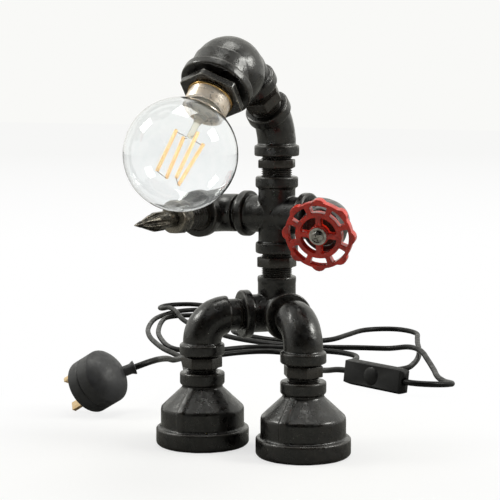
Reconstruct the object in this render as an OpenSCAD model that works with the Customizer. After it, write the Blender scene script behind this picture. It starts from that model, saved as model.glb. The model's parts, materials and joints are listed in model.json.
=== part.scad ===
// Robot-shaped desk lamp built from threaded iron pipe fittings.
// Origin: middle of the lamp's footprint, on the table. +Z up, the robot faces -Y.

/* [Pipe thread] */
// Outer radius of the pipe thread
thread_r = 13.2; // [12.8:0.1:13.4]
// Running clearance round every thread in its socket
thread_gap = 0.05; // [0.02:0.01:0.09]
// Depth of a full socket
socket_depth = 14; // [12:1:15]
// Radius of the waterway inside the fittings
waterway_r = 10.8; // [9:0.2:11.6]
// Radius of the hole through a nipple
nipple_bore_r = 9.6; // [8.5:0.1:10.4]
// Width across the flats of a nipple's hexagon
nipple_flats = 30; // [29:0.5:32]

/* [Fittings] */
// Distance from a fitting's centre to the face of its socket
centre_to_face = 33; // [31:0.5:36]
// Distance from a street elbow's centre to its threaded end
centre_to_end = 43; // [41:0.5:46]
// Radius of a fitting's plain body
body_r = 16.4; // [15.6:0.2:17]
// Radius of the bead round a socket
bead_r = 19.2; // [18.2:0.2:20.4]
// Height of the bead round a socket
bead_h = 9.5; // [7:0.5:11]
// Rounding of a bead's edges
bead_round = 1.4; // [0.6:0.2:2]
// Radius of the centre line of a 90 degree bend
bend_r = 22; // [20:0.5:23]
// Radius of the plain shank of a street elbow
shank_r = 13.5; // [13.4:0.1:15]

/* [Feet] */
// Radius of the wide bead that the foot stands on
foot_bead_r = 39.8; // [38:0.2:42]
// Height of the wide bead
foot_bead_h = 15.5; // [13:0.5:18]
// Radius of the foot's barrel
foot_barrel_r = 35.7; // [34.5:0.1:36.5]
// Height of the top edge of the barrel
foot_barrel_h = 33; // [30:0.5:35]
// Overall height of the foot
foot_h = 62.7; // [60:0.5:66]
// Radius of the large socket in the foot
foot_socket_r = 30; // [28:0.5:31]
// Depth of the large socket in the foot
foot_socket_depth = 24; // [20:0.5:26]
// Height of the lead's gland above the table
gland_h = 8.5; // [8:0.5:10]
// Direction in which the lead leaves the left foot
gland_angle = 125; // [90:1:150]
// Distance from the column to the middle of each leg
leg_offset = 67.5; // [66.5:0.5:70]
// Turn of both legs about the column
leg_yaw = 3.2; // [-5:0.1:5]

/* [Body and arms] */
// Visible length of the nipple between foot and leg
leg_gap = 14.9; // [13.5:0.1:17]
// Visible length of the waist nipple
waist_gap = 19.9; // [18:0.1:22]
// Visible length of the neck nipple
neck_gap = 17.4; // [16:0.1:20]
// Radius of the crotch fitting's side beads
crotch_bead_r = 20.7; // [19:0.1:21.5]
// Height of the crotch fitting's top socket above its centre
crotch_rise = 31.9; // [30:0.1:34]
// Radius of the cross's bead on each side
cross_side_bead_r = 19.8; // [18.6:0.1:20.4]
// Radius of the cross's top and bottom beads
cross_bead_r = 18.3; // [17.6:0.1:19]
// Distance from the column to the middle of each forearm
shoulder_x = 60.2; // [59.5:0.1:62]
// Droop of the left forearm at rest
left_pitch = 0.7; // [-10:0.1:20]
// Droop of the right forearm at rest
right_pitch = 14.5; // [-10:0.5:20]

/* [Left hand] */
// Radius of the threaded wrist stud
stud_r = 10.5; // [9.5:0.1:11.4]
// Distance from the elbow to the stud's shoulder
stud_reach = 57; // [52:0.5:60]
// Width across the flats of the hexagon collar
collar_flats = 24; // [23:0.5:26]
// Length of the hexagon collar
collar_len = 15; // [13:0.5:18]
// Radius of the bit's shank
bit_shank_r = 6.5; // [5.5:0.1:7]
// Largest radius of the bit's fluted head
bit_r = 8; // [7.2:0.1:9]
// Distance from the elbow to the bit's tip
bit_reach = 128.9; // [120:0.1:135]

/* [Handwheel] */
// Radius over the handwheel's rounded corners
wheel_r = 31.2; // [29:0.1:34]
// Radius of one rounded corner
wheel_corner_r = 6.6; // [5.5:0.1:7.5]
// Number of rounded corners
wheel_corners = 8; // [6:1:10]
// Thickness of the handwheel's rim
wheel_rim_t = 7; // [5:0.5:8]
// Outer radius of the handwheel's inner ring
wheel_ring_r = 19.8; // [18.5:0.1:21]
// Width of the handwheel's inner ring
wheel_ring_w = 4.2; // [3.4:0.1:5]
// Width of the handwheel's rim between its corners
wheel_rim_w = 2.9; // [2.4:0.1:3.6]
// Width of a spoke
wheel_spoke_w = 4.6; // [3.5:0.1:6]
// Distance from the elbow to the handwheel's front
wheel_reach = 48; // [47:0.5:52]
// Sideways lean of the handwheel's spindle
wheel_lean = 10.8; // [6:0.2:12]
// Turn of the handwheel about its spindle at rest
wheel_turn = -6; // [-22:1:22]
// Radius of the spindle
spindle_r = 3.5; // [3:0.1:4]

/* [Head] */
// Turn of the head about the column at rest
head_turn = -1; // [-20:1:20]
// Distance from the neck elbow's centre to its sockets
neck_elbow_face = 25; // [24:0.5:28]
// Visible length of the nipple between neck and head
head_gap = 23.3; // [21:0.1:26]
// Distance from the head's centre to its rear socket
head_rear_face = 44.7; // [42:0.1:48]
// Distance from the head's centre to its front face
head_front_face = 46; // [44:0.5:50]
// Radius of the head's rounded shell
head_shell_r = 29.8; // [29:0.1:31]
// Radius of the bead round the head's front
head_bead_r = 30; // [29.4:0.1:31]
// Height of the bead round the head's front
head_bead_h = 8; // [6:0.5:9]
// Outer radius of the thread of the hexagon bush
bush_thread_r = 20.9; // [20.5:0.1:21.6]
// Width across the flats of the hexagon bush
bush_flats = 47.5; // [46:0.5:50]
// Thickness of the bush's hexagon
bush_hex_t = 5.5; // [4.5:0.1:7]
// Gap between the head's front face and the hexagon
bush_stand_off = 3.8; // [2.5:0.1:5]
// Turn of the bush's hexagon
bush_turn = -6.8; // [-30:0.1:30]

/* [Lampholder and bulb] */
// Outer radius of the lampholder's brass shell
holder_r = 18; // [17.4:0.1:18.2]
// Wall of the lampholder's brass shell
holder_wall = 0.8; // [0.6:0.1:1.2]
// How far the shell stands out of the bush
holder_stick_out = 14.5; // [13:0.5:15]
// Length of the lampholder's shell
holder_len = 45.5; // [43:0.5:47]
// Radius of the bulb's screw cap
cap_r = 13; // [12.6:0.1:13.1]
// Radius of the glass globe
globe_r = 45; // [44:0.5:46.5]
// Distance from the bush's face to the near side of the globe
globe_gap = 16.9; // [15:0.1:20]
// Thickness of the glass
glass_t = 0.9; // [0.7:0.1:1.4]
// Radius of the globe's neck
globe_neck_r = 14.2; // [13.6:0.1:14.6]
// Length of one filament stick
filament_len = 40; // [34:1:42]

/* [Mains lead] */
// Diameter of the lead
lead_d = 6; // [5.6:0.1:6.4]
// Radius of the gland's head
gland_r = 6.5; // [6:0.1:7.5]
// Length of the inline switch
switch_len = 82; // [78:1:88]
// Height of the inline switch, standing on its edge
switch_h = 26.5; // [25:0.5:29]
// Thickness of the inline switch
switch_t = 14; // [13:0.5:18]
// How far the switch's faces are drawn in from its seam
switch_draft = 2.5; // [1:0.1:3]
// Radius of the switch's round rocker
rocker_r = 9; // [8:0.1:9.5]
// Radius of the plug's round body
plug_r = 26; // [25:0.5:28]
// Thickness of the plug's pin half
plug_base_t = 14; // [13:0.5:16]
// Overall depth of the plug without its pins
plug_depth = 38; // [36:0.5:42]

/* [Hidden] */
$fn = 48;

iron = "#35322f";
black_plastic = "#232325";
brass = "#c9a45c";
steel = "#b9bcc0";

big = 200;
seam = 0.02;
fit = 0.05;
tap_r = thread_r + thread_gap;

// Heights up the column
elbow_z = foot_h + leg_gap + centre_to_face;
crotch_top_z = elbow_z + crotch_rise;
cross_z = crotch_top_z + waist_gap + centre_to_face;
neck_z = cross_z + centre_to_face + neck_gap + neck_elbow_face;
head_reach = neck_elbow_face + head_gap + head_rear_face;
bush_face = head_front_face + bush_stand_off + bush_hex_t;
globe_s = bush_face + globe_gap + globe_r;
head_y = head_reach * sin(45);

// Leg directions, and the depth of the sockets that street elbows screw into
right_leg_angle = -45 + leg_yaw;
left_leg_angle = -135 + leg_yaw;
crotch_socket = centre_to_face - (leg_offset - centre_to_end);
cross_side_socket = centre_to_face - (shoulder_x - centre_to_end);
shank_end = shoulder_x - centre_to_face - 0.2;
leg_shank_end = leg_offset - centre_to_face - 2.5;

// Handwheel stack, along its spindle from the pivot inside the elbow's mouth
pivot_s = 28;
wheel_front = wheel_reach - pivot_s;
washer_t = 1;
washer_r = 7.4;
wheel_hub_t = 8;
wheel_hub_r = 8.5;
rim_mid = wheel_front - washer_t - 4;
screw_r = 2.2;
screw_head_r = 5;

// Middle of the footprint, so that the origin stands under the middle of the lamp
span_left = leg_offset * cos(left_leg_angle) - foot_bead_r;
span_right = max(
    leg_offset * cos(right_leg_angle) + foot_bead_r,
    shoulder_x + rim_mid * sin(wheel_lean) + wheel_r * cos(wheel_lean)
);
span_front = -head_y - globe_s * sin(45) - globe_r;
span_back = cross_side_bead_r;
column_x = -(span_left + span_right) / 2;
column_y = -(span_front + span_back) / 2;

// ---------------------------------------------------------------- frames

module column() translate([column_x, column_y, 0]) children();

module leg(angle) column() rotate([0, 0, angle]) translate([leg_offset, 0, 0]) rotate([0, 0, 180]) children();

// Z runs out along the forearm, X is the lamp's own X
module forearm(side, pitch) column() translate([side * shoulder_x, 0, cross_z]) rotate([90 + pitch, 0, 0]) children();

// X points the way the robot faces
module neck() column() translate([0, 0, neck_z]) rotate([0, 0, head_turn - 90]) children();

// Z runs up the 45 degree neck
module head_line() neck() rotate([0, 45, 0]) children();

module head() head_line() translate([0, 0, head_reach]) children();

// Z runs out of the head towards the globe
module lamp_line() head() rotate([0, 90, 0]) children();

module wheel_line() forearm(1, right_pitch) translate([0, 0, pivot_s]) rotate([0, wheel_lean, 0]) children();

// ---------------------------------------------------------------- shared shapes

module ring(r, bore, h) difference() {
    cylinder(h = h, r = r);
    translate([0, 0, -1]) cylinder(h = h + 2, r = bore);
}

module bead(r, h, edge) rotate_extrude() {
    square([r - edge, h]);
    translate([0, edge]) square([r, h - 2 * edge]);
    for (z = [edge, h - edge]) translate([r - edge, z]) circle(edge);
}

module hexagon(flats, h) cylinder(h = h, r = flats / 2 / cos(30), $fn = 6);

// Hexagon whose corners are turned down to a cone on both faces
module turned_hexagon(flats, h) intersection() {
    hexagon(flats, h);
    translate([0, 0, h / 2]) for (flip = [0, 1]) mirror([0, 0, flip])
        cylinder(h = h / 2, r1 = flats / 2 * 1.155 + 0.2, r2 = flats / 2 * 1.02);
}

// Nipple lying along Z from its lower end, with the hexagon where it shows
module nipple(length, hex_from, hex_t, turn = 0) difference() {
    union() {
        cylinder(h = length, r = thread_r);
        translate([0, 0, hex_from]) rotate([0, 0, turn]) turned_hexagon(nipple_flats, hex_t);
    }
    translate([0, 0, -1]) cylinder(h = length + 2, r = nipple_bore_r);
}

// Body and bead of one socket, from the fitting's centre up Z
module socket_body(face, r, bead_radius, bead_height) {
    cylinder(h = face - bead_height / 2, r = r);
    translate([0, 0, face - bead_height]) bead(bead_radius, bead_height, bead_round);
}

module socket_bore(face, depth) {
    cylinder(h = face, r = waterway_r);
    translate([0, 0, face - depth]) cylinder(h = depth + 1, r = tap_r);
}

// Ball with a small flat underneath, at the depth cut
module ball(r, cut, turn) rotate([0, 0, turn]) intersection() {
    sphere(r = r);
    translate([0, 0, -cut]) cylinder(h = cut + r + 1, r = r + 1);
}

// Part of a ring: starts on -Z and turns by angle towards X
module bend(angle, radius, r) translate([radius, 0, -radius * tan(angle / 2)])
    rotate([90, 0, 0]) rotate([0, 0, 180 - angle]) rotate_extrude(angle = angle) translate([radius, 0]) circle(r);

// Street elbow: socket down -Z, threaded end along +X
module street_elbow(plain_end) difference() {
    union() {
        mirror([0, 0, 1]) {
            translate([0, 0, bend_r]) cylinder(h = centre_to_face - bend_r - 1, r = body_r);
            translate([0, 0, centre_to_face - bead_h]) bead(bead_r, bead_h, bead_round);
        }
        bend(90, bend_r, body_r);
        rotate([0, 90, 0]) {
            translate([0, 0, bend_r]) cylinder(h = plain_end - bend_r, r = shank_r);
            translate([0, 0, bend_r]) cylinder(h = centre_to_end - bend_r, r = thread_r);
        }
    }
    mirror([0, 0, 1]) {
        translate([0, 0, bend_r]) cylinder(h = centre_to_face - bend_r, r = waterway_r);
        translate([0, 0, centre_to_face - socket_depth]) cylinder(h = socket_depth + 1, r = tap_r);
    }
    bend(90, bend_r, waterway_r);
    rotate([0, 90, 0]) translate([0, 0, bend_r]) cylinder(h = centre_to_end, r = waterway_r);
}

// Rounded flat outline, standing in the XZ plane with its lower edge on Z = 0
module standing_plate(length, height, corner, t) rotate([90, 0, 0]) linear_extrude(t) {
    translate([-length / 2 + corner, 0]) square([length - 2 * corner, height]);
    translate([-length / 2, corner]) square([length, height - 2 * corner]);
    for (x = [-1, 1], z = [corner, height - corner]) translate([x * (length / 2 - corner), z]) circle(corner);
}

// ---------------------------------------------------------------- feet and legs

// Ribs run up the barrel where the casting's halves met
foot_rib_w = 6;
foot_rib_t = 0.9;
foot_cone_top = foot_h - 13;
foot_neck_r = 17.3;
gland_hole_r = 4.6;

module foot_outline() rotate_extrude() polygon([
    [0, 0], [foot_bead_r - 2, 0], [foot_bead_r, 2], [foot_bead_r, foot_bead_h - 1.2],
    [foot_bead_r - 1.2, foot_bead_h], [foot_barrel_r, foot_bead_h], [foot_barrel_r, foot_barrel_h - 2],
    [foot_barrel_r - 0.6, foot_barrel_h], [foot_neck_r, foot_cone_top], [foot_neck_r, foot_h - 4],
    [0, foot_h - 4]
]);

module foot(angle, gland) color(iron) column() rotate([0, 0, angle]) translate([leg_offset, 0, 0])
    rotate([0, 0, -angle]) difference() {
        union() {
            foot_outline();
            translate([0, 0, foot_h - 10.5]) bead(bead_r, 10.5, bead_round);
            for (side = [-1, 1]) intersection() {
                translate([-foot_rib_w / 2, side > 0 ? 0 : -foot_bead_r, 0]) cube([foot_rib_w, foot_bead_r, big]);
                rotate_extrude() polygon([
                    [0, foot_bead_h - 1], [foot_barrel_r + foot_rib_t, foot_bead_h - 1],
                    [foot_barrel_r + foot_rib_t, foot_barrel_h], [foot_neck_r + foot_rib_t, foot_cone_top + 1],
                    [0, foot_cone_top + 1]
                ]);
            }
        }
        translate([0, 0, -1]) cylinder(h = foot_socket_depth + 1, r = foot_socket_r);
        translate([0, 0, foot_socket_depth - seam])
            cylinder(h = foot_h - socket_depth - foot_socket_depth + 2 * seam, r1 = foot_socket_r, r2 = waterway_r);
        translate([0, 0, foot_h - socket_depth]) cylinder(h = socket_depth + 1, r = tap_r);
        if (gland) translate([0, 0, gland_h]) rotate([0, 90, gland_angle]) cylinder(h = foot_bead_r + 1, r = gland_hole_r);
    }

module left_foot() foot(left_leg_angle, true);
module right_foot() foot(right_leg_angle, false);

module leg_nipple(angle, turn) color(iron) leg(angle) translate([0, 0, foot_h - socket_depth])
    nipple(leg_gap + 2 * socket_depth, socket_depth + 3.9, 9.4, turn);

module left_leg_nipple() leg_nipple(left_leg_angle, 12);
module right_leg_nipple() leg_nipple(right_leg_angle, 20);

module leg_elbow(angle) color(iron) leg(angle) translate([0, 0, elbow_z]) street_elbow(leg_shank_end);

module left_leg_elbow() leg_elbow(left_leg_angle);
module right_leg_elbow() leg_elbow(right_leg_angle);

// ---------------------------------------------------------------- crotch, waist and cross

module crotch_fitting() color(iron) column() translate([0, 0, elbow_z]) difference() {
    union() {
        ball(body_r + 0.6, body_r + 0.2, left_leg_angle);
        cylinder(h = crotch_rise - 4, r = body_r);
        translate([0, 0, crotch_rise - 6]) bead(body_r + 0.3, 6, bead_round);
        for (angle = [left_leg_angle, right_leg_angle]) rotate([0, 0, angle]) rotate([0, 90, 0])
            socket_body(centre_to_face, body_r, crotch_bead_r, 8);
    }
    ball(waterway_r + 0.6, waterway_r + 0.4, left_leg_angle);
    socket_bore(crotch_rise, socket_depth);
    for (angle = [left_leg_angle, right_leg_angle]) rotate([0, 0, angle]) rotate([0, 90, 0])
        socket_bore(centre_to_face, crotch_socket);
}

module waist_nipple() color(iron) column() translate([0, 0, crotch_top_z - socket_depth])
    nipple(waist_gap + 2 * socket_depth, socket_depth + 7.8, 8.7, 8);

module body_cross() color(iron) column() translate([0, 0, cross_z]) difference() {
    union() {
        for (turn = [0, 180]) rotate([0, turn, 0])
            socket_body(centre_to_face, body_r - 0.5, cross_bead_r, bead_h);
        for (turn = [90, -90]) rotate([0, turn, 0])
            socket_body(centre_to_face, body_r - 0.5, cross_side_bead_r, 7.5);
    }
    for (turn = [0, 180]) rotate([0, turn, 0]) socket_bore(centre_to_face, socket_depth);
    for (turn = [90, -90]) rotate([0, turn, 0]) socket_bore(centre_to_face, cross_side_socket);
}

module neck_nipple() color(iron) column() translate([0, 0, cross_z + centre_to_face - socket_depth])
    nipple(neck_gap + 2 * socket_depth, socket_depth + 7.3, 7.2, 22);

// ---------------------------------------------------------------- neck and head

// Gentle 45 degree elbow whose bend ends just inside both beads
neck_bend_r = (neck_elbow_face - bead_h + 0.3) / tan(22.5);

module neck_elbow() color(iron) neck() difference() {
    union() {
        bend(45, neck_bend_r, body_r);
        for (turn = [180, 45]) rotate([0, turn, 0])
            translate([0, 0, neck_elbow_face - bead_h]) bead(bead_r, bead_h, bead_round);
    }
    bend(45, neck_bend_r, waterway_r);
    for (turn = [180, 45]) rotate([0, turn, 0])
        translate([0, 0, neck_elbow_face - socket_depth]) cylinder(h = socket_depth + 1, r = tap_r);
}

module head_nipple() color(iron) head_line() translate([0, 0, neck_elbow_face - socket_depth])
    nipple(head_gap + 2 * socket_depth, socket_depth + 6, 10, 5);

// Shell of the reducing elbow: a ball off centre, a throat below it, a small socket behind, a wide one in front
head_ball = [22.9, 0, -5.3];
head_throat = [9, 0, -15];
head_throat_r = 21;
head_rear_r = body_r - 0.6;
head_rear_s = 23;
head_sweep_r = 26;
head_hollow_s = 16;
head_hollow_r = holder_r + 1.5;
head_socket_depth = 18;
bush_tap_r = bush_thread_r + thread_gap;

module head_elbow() color(iron) head() difference() {
    union() {
        translate(head_ball) rotate([0, 90, 0]) sphere(r = head_shell_r);
        translate(head_throat) rotate([0, 90, 0]) sphere(r = head_throat_r);
        mirror([0, 0, 1]) {
            translate([0, 0, head_rear_s]) sphere(r = head_rear_r);
            translate([0, 0, head_rear_s]) cylinder(h = head_rear_face - 5 - head_rear_s, r = head_rear_r);
            translate([0, 0, head_rear_face - bead_h]) bead(bead_r, bead_h, bead_round);
        }
        rotate([0, 90, 0]) {
            translate([0, 0, head_ball[0] + 1]) cylinder(h = head_front_face - head_ball[0] - 3, r = head_shell_r - 2.8);
            translate([0, 0, head_front_face - head_bead_h]) bead(head_bead_r, head_bead_h, bead_round);
        }
    }
    bend(90, head_sweep_r, waterway_r);
    mirror([0, 0, 1]) {
        translate([0, 0, head_sweep_r]) cylinder(h = head_rear_face - head_sweep_r, r = waterway_r);
        translate([0, 0, head_rear_face - socket_depth]) cylinder(h = socket_depth + 1, r = tap_r);
    }
    rotate([0, 90, 0]) {
        translate([0, 0, head_hollow_s]) cylinder(h = big, r = head_hollow_r);
        translate([0, 0, head_front_face - head_socket_depth]) cylinder(h = big, r = bush_tap_r);
    }
}

module head_bush() color(iron) lamp_line() difference() {
    union() {
        translate([0, 0, head_front_face - head_socket_depth + 3])
            cylinder(h = head_socket_depth - 3 + bush_stand_off + 1, r = bush_thread_r);
        translate([0, 0, bush_face - bush_hex_t]) rotate([0, 0, bush_turn]) hexagon(bush_flats, bush_hex_t);
    }
    cylinder(h = big, r = holder_r + fit);
}

// ---------------------------------------------------------------- lampholder

holder_front = bush_face + holder_stick_out;
holder_back = holder_front - holder_len;
holder_inner_r = holder_r - holder_wall;
entry_r = 5;
contact_s = holder_back + 13;
screw_shell_r = cap_r + 0.3;

module lampholder_shell() color(brass) lamp_line() difference() {
    union() {
        translate([0, 0, holder_back]) cylinder(h = holder_len, r = holder_r);
        translate([0, 0, bush_face + 4.5]) cylinder(h = 1.6, r = holder_r + 0.5);
    }
    translate([0, 0, holder_back + 1.2]) cylinder(h = holder_len, r = holder_inner_r);
    cylinder(h = big, r = entry_r + fit);
}

// Threaded tube that carries the lead into the lampholder
module lampholder_entry() color(steel) lamp_line() translate([0, 0, holder_back - 5]) difference() {
    union() {
        cylinder(h = 9, r = entry_r);
        translate([0, 0, 1.5]) hexagon(13, 3.5);
    }
    translate([0, 0, -1]) cylinder(h = 11, r = lead_d / 2 + fit);
}

module lampholder_insulator() color("#e8e2d4") lamp_line() difference() {
    translate([0, 0, holder_back + 4]) cylinder(h = holder_front - 8 - holder_back - 4, r = holder_inner_r - fit);
    translate([0, 0, contact_s - 2]) cylinder(h = big, r = screw_shell_r + 0.9 + fit);
    translate([0, 0, holder_back]) cylinder(h = big, r = lead_d / 2 + fit);
}

module lampholder_screw_shell() color(brass) lamp_line() difference() {
    translate([0, 0, contact_s - 2]) cylinder(h = 24, r = screw_shell_r + 0.9);
    translate([0, 0, contact_s - 1.1]) cylinder(h = big, r = screw_shell_r);
    cylinder(h = big, r = 7);
}

// Springy tongue under the bulb's end contact
module lampholder_contact() color(brass) lamp_line() translate([-3, -6, contact_s - 2]) cube([6, 12, 1.2]);

module lampholder_ring() color(brass) lamp_line() translate([0, 0, holder_front - 7.5])
    ring(holder_inner_r - fit, globe_neck_r + 0.6, 6.5);

// ---------------------------------------------------------------- bulb

cap_front = contact_s + 27;
neck_fillet_s = globe_s - sqrt(globe_r * globe_r - globe_neck_r * globe_neck_r);
stem_r = 5;

module globe_solid(grow) {
    translate([0, 0, globe_s]) sphere(r = globe_r + grow);
    translate([0, 0, cap_front]) cylinder(h = globe_s - cap_front - globe_r * 0.7, r = globe_neck_r + grow);
    translate([0, 0, neck_fillet_s - 4]) cylinder(h = 9, r1 = globe_neck_r + grow, r2 = globe_neck_r + grow + 5.2);
}

module bulb_globe() color("#e9eef2", 0.35) lamp_line() difference() {
    globe_solid(0);
    globe_solid(-glass_t);
    translate([0, 0, cap_front - 1]) cylinder(h = 4, r = globe_neck_r - glass_t);
}

module bulb_cap() color(brass) lamp_line() difference() {
    union() {
        translate([0, 0, contact_s + 5]) cylinder(h = cap_front - contact_s - 5, r = cap_r);
        translate([0, 0, cap_front - 3]) cylinder(h = 3, r1 = cap_r, r2 = globe_neck_r);
    }
    translate([0, 0, contact_s + 4]) cylinder(h = cap_front, r = cap_r - 0.6);
}

module bulb_cap_insulator() color("#1c1c20") lamp_line() difference() {
    translate([0, 0, contact_s + 1]) cylinder(h = 4, r1 = 6, r2 = cap_r - 0.8);
    translate([0, 0, contact_s]) cylinder(h = 8, r = 2.2);
}

module bulb_cap_contact() color(steel) lamp_line() {
    translate([0, 0, contact_s - 0.8]) cylinder(h = 1.8, r = 4.5);
    translate([0, 0, contact_s + 0.9]) cylinder(h = 4, r = 2.15);
}

// Glass mount in the middle of the bulb
stem_top_s = globe_s - 18;
stem_top_r = 2.6;
module bulb_stem() color("#e9eef2", 0.5) lamp_line() {
    translate([0, 0, cap_front + 1]) cylinder(h = 10, r1 = globe_neck_r - glass_t - 0.3, r2 = stem_r);
    translate([0, 0, cap_front + 10]) cylinder(h = 10, r1 = stem_r, r2 = stem_top_r);
    translate([0, 0, cap_front + 19]) cylinder(h = stem_top_s - cap_front - 19, r = stem_top_r);
}

// Straight round bar from a to b
module rod(a, b, r, sides) let(d = b - a) translate(a) rotate([0, acos(d[2] / norm(d)), atan2(d[1], d[0])])
    cylinder(h = norm(d), r = r, $fn = sides);

// Four sticks side by side along the lamp's axis: where each stands beside the stem, and where it ends
filament_r = 1;
wire_r = 0.35;
stick_near = [[-6.5, -10], [1.9, -7.2], [-4.5, 9.2], [9.1, 8]];
stick_far = [[-4.7, -9.6], [3.5, -4.9], [2.7, 4.6], [11.4, 2.6]];
stick_near_s = stem_top_s - 1;
stick_far_s = stick_near_s + filament_len;
function at(p, s) = [p[0], p[1], s];
module bulb_filaments() color("#f2a640") lamp_line() for (k = [0 : 3])
    rod(at(stick_near[k], stick_near_s), at(stick_far[k], stick_far_s), filament_r, 24);

// Wires from the top of the stem to the near ends, and one across each pair of far ends
module bulb_support_wires() color(steel) lamp_line() {
    for (p = stick_near) rod(
        at(p / norm(p) * (stem_top_r - 0.3), stem_top_s + wire_r + 0.1),
        at(p / norm(p) * (norm(p) - filament_r - 0.4), stem_top_s - 0.1), wire_r, 16
    );
    for (k = [0, 2]) rod(
        at(stick_far[k], stick_far_s + wire_r + 0.5), at(stick_far[k + 1], stick_far_s + wire_r + 0.5), wire_r, 16
    );
}

// ---------------------------------------------------------------- left arm

module left_arm_elbow() color(iron) forearm(-1, left_pitch) rotate([180, 0, 0]) street_elbow(shank_end);

module left_wrist_bush() color(iron) forearm(-1, left_pitch) translate([0, 0, centre_to_face - socket_depth])
    ring(thread_r, stud_r + fit, socket_depth - 2);

wrist_groove_s = 46.5;
spigot_r = 8;
module left_wrist_stud() color(iron) forearm(-1, left_pitch) difference() {
    union() {
        translate([0, 0, centre_to_face - socket_depth])
            cylinder(h = stud_reach - centre_to_face + socket_depth, r = stud_r);
        translate([0, 0, stud_reach - 1]) cylinder(h = 8, r = spigot_r);
    }
    translate([0, 0, wrist_groove_s]) ring(stud_r + 1, stud_r - 1.2, 2);
}

module left_hand_collar() color(iron) forearm(-1, left_pitch) translate([0, 0, stud_reach]) difference() {
    turned_hexagon(collar_flats, collar_len);
    translate([0, 0, -1]) cylinder(h = 8, r = spigot_r + fit);
    cylinder(h = collar_len + 1, r = bit_shank_r + fit);
}

// Countersink bit: plain shank, short fluted barrel and a sharp fluted point
bit_barrel_from = 88;
bit_point_from = 100;
bit_flutes = 6;
module left_hand_bit() color(steel) forearm(-1, left_pitch) difference() {
    union() {
        translate([0, 0, stud_reach + 7]) cylinder(h = bit_barrel_from - stud_reach - 7, r = bit_shank_r);
        translate([0, 0, bit_barrel_from - 3]) cylinder(h = 3, r1 = bit_shank_r, r2 = bit_r);
        translate([0, 0, bit_barrel_from]) cylinder(h = bit_point_from - bit_barrel_from, r = bit_r);
        translate([0, 0, bit_point_from]) cylinder(h = bit_reach - bit_point_from, r1 = bit_r, r2 = 0.4);
    }
    for (k = [0 : bit_flutes - 1]) rotate([0, 0, 360 / bit_flutes * k])
        translate([bit_r + 1.1, 0, bit_barrel_from - 2]) rotate([0, -9, 0]) cylinder(h = 34, r = 2);
}

// ---------------------------------------------------------------- right arm and handwheel

module right_arm_elbow() color(iron) forearm(1, right_pitch) rotate([180, 0, 180]) street_elbow(shank_end);

module spindle_bush() color(iron) difference() {
    forearm(1, right_pitch) translate([0, 0, centre_to_face - socket_depth])
        cylinder(h = socket_depth - 1, r = thread_r);
    wheel_line() translate([0, 0, -20]) cylinder(h = 40, r = spindle_r + fit);
}

module wheel_spindle() color(steel) wheel_line() difference() {
    union() {
        translate([0, 0, -14]) cylinder(h = wheel_front - washer_t + 14 - 0.5, r = spindle_r);
        translate([0, 0, -13]) cylinder(h = 1.8, r = 6);
    }
    translate([0, 0, wheel_front - 12]) cylinder(h = 20, r = screw_r + fit);
}

wheel_scallop = 2.6;
module wheel_outline() {
    circle(wheel_r - wheel_scallop);
    for (k = [0 : wheel_corners - 1]) rotate(360 / wheel_corners * k) translate([wheel_r - wheel_corner_r, 0])
        circle(wheel_corner_r);
}

// One opening between the inner ring and the rim
module wheel_window() intersection() {
    difference() {
        circle(wheel_r - wheel_scallop - wheel_rim_w);
        circle(wheel_ring_r);
    }
    half = 180 / wheel_corners - 5.5;
    polygon([[0, 0], [big * cos(half), -big * sin(half)], [big * cos(half), big * sin(half)]]);
}

module handwheel() color("#a31f1f") wheel_line() rotate([0, 0, wheel_turn]) difference() {
    union() {
        translate([0, 0, rim_mid - wheel_rim_t / 2]) linear_extrude(wheel_rim_t) difference() {
            wheel_outline();
            for (k = [0 : wheel_corners - 1]) rotate(360 / wheel_corners * k) wheel_window();
            difference() {
                circle(wheel_ring_r - wheel_ring_w);
                for (turn = [0, 90]) rotate(turn) square([2 * wheel_ring_r, wheel_spoke_w], center = true);
            }
        }
        translate([0, 0, wheel_front - washer_t - wheel_hub_t]) cylinder(h = wheel_hub_t, r = wheel_hub_r);
    }
    cylinder(h = big, r = spindle_r + fit);
}

module wheel_washer() color(steel) wheel_line() translate([0, 0, wheel_front - washer_t])
    ring(washer_r, screw_r + fit, washer_t);

module wheel_screw() color(steel) wheel_line() translate([0, 0, wheel_front]) difference() {
    union() {
        translate([0, 0, -11]) cylinder(h = 11.5, r = screw_r);
        intersection() {
            cylinder(h = 3.4, r = screw_head_r);
            translate([0, 0, -5]) sphere(r = 8.4);
        }
    }
    for (turn = [0, 90]) translate([0, 0, 3]) rotate([0, 0, turn + 20]) cube([5.4, 1.1, 4], center = true);
}

// ---------------------------------------------------------------- leads

// Smooth curve through hand-laid points, with steps pieces between two of them
steps = 3;
function spline(a, b, c, d, t) = 0.5 * (2 * b + (c - a) * t + (2 * a - 5 * b + 4 * c - d) * t * t
    + (3 * b - a - 3 * c + d) * t * t * t);
function on_table(p) = [p[0], p[1], max(p[2], lead_d / 2)];
function smooth(p) = [
    for (i = [0 : len(p) - 2], k = [0 : steps - 1])
        on_table(spline(i > 0 ? p[i - 1] : 2 * p[0] - p[1], p[i], p[i + 1],
            i < len(p) - 2 ? p[i + 2] : 2 * p[i + 1] - p[i], k / steps)),
    p[len(p) - 1]
];

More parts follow.
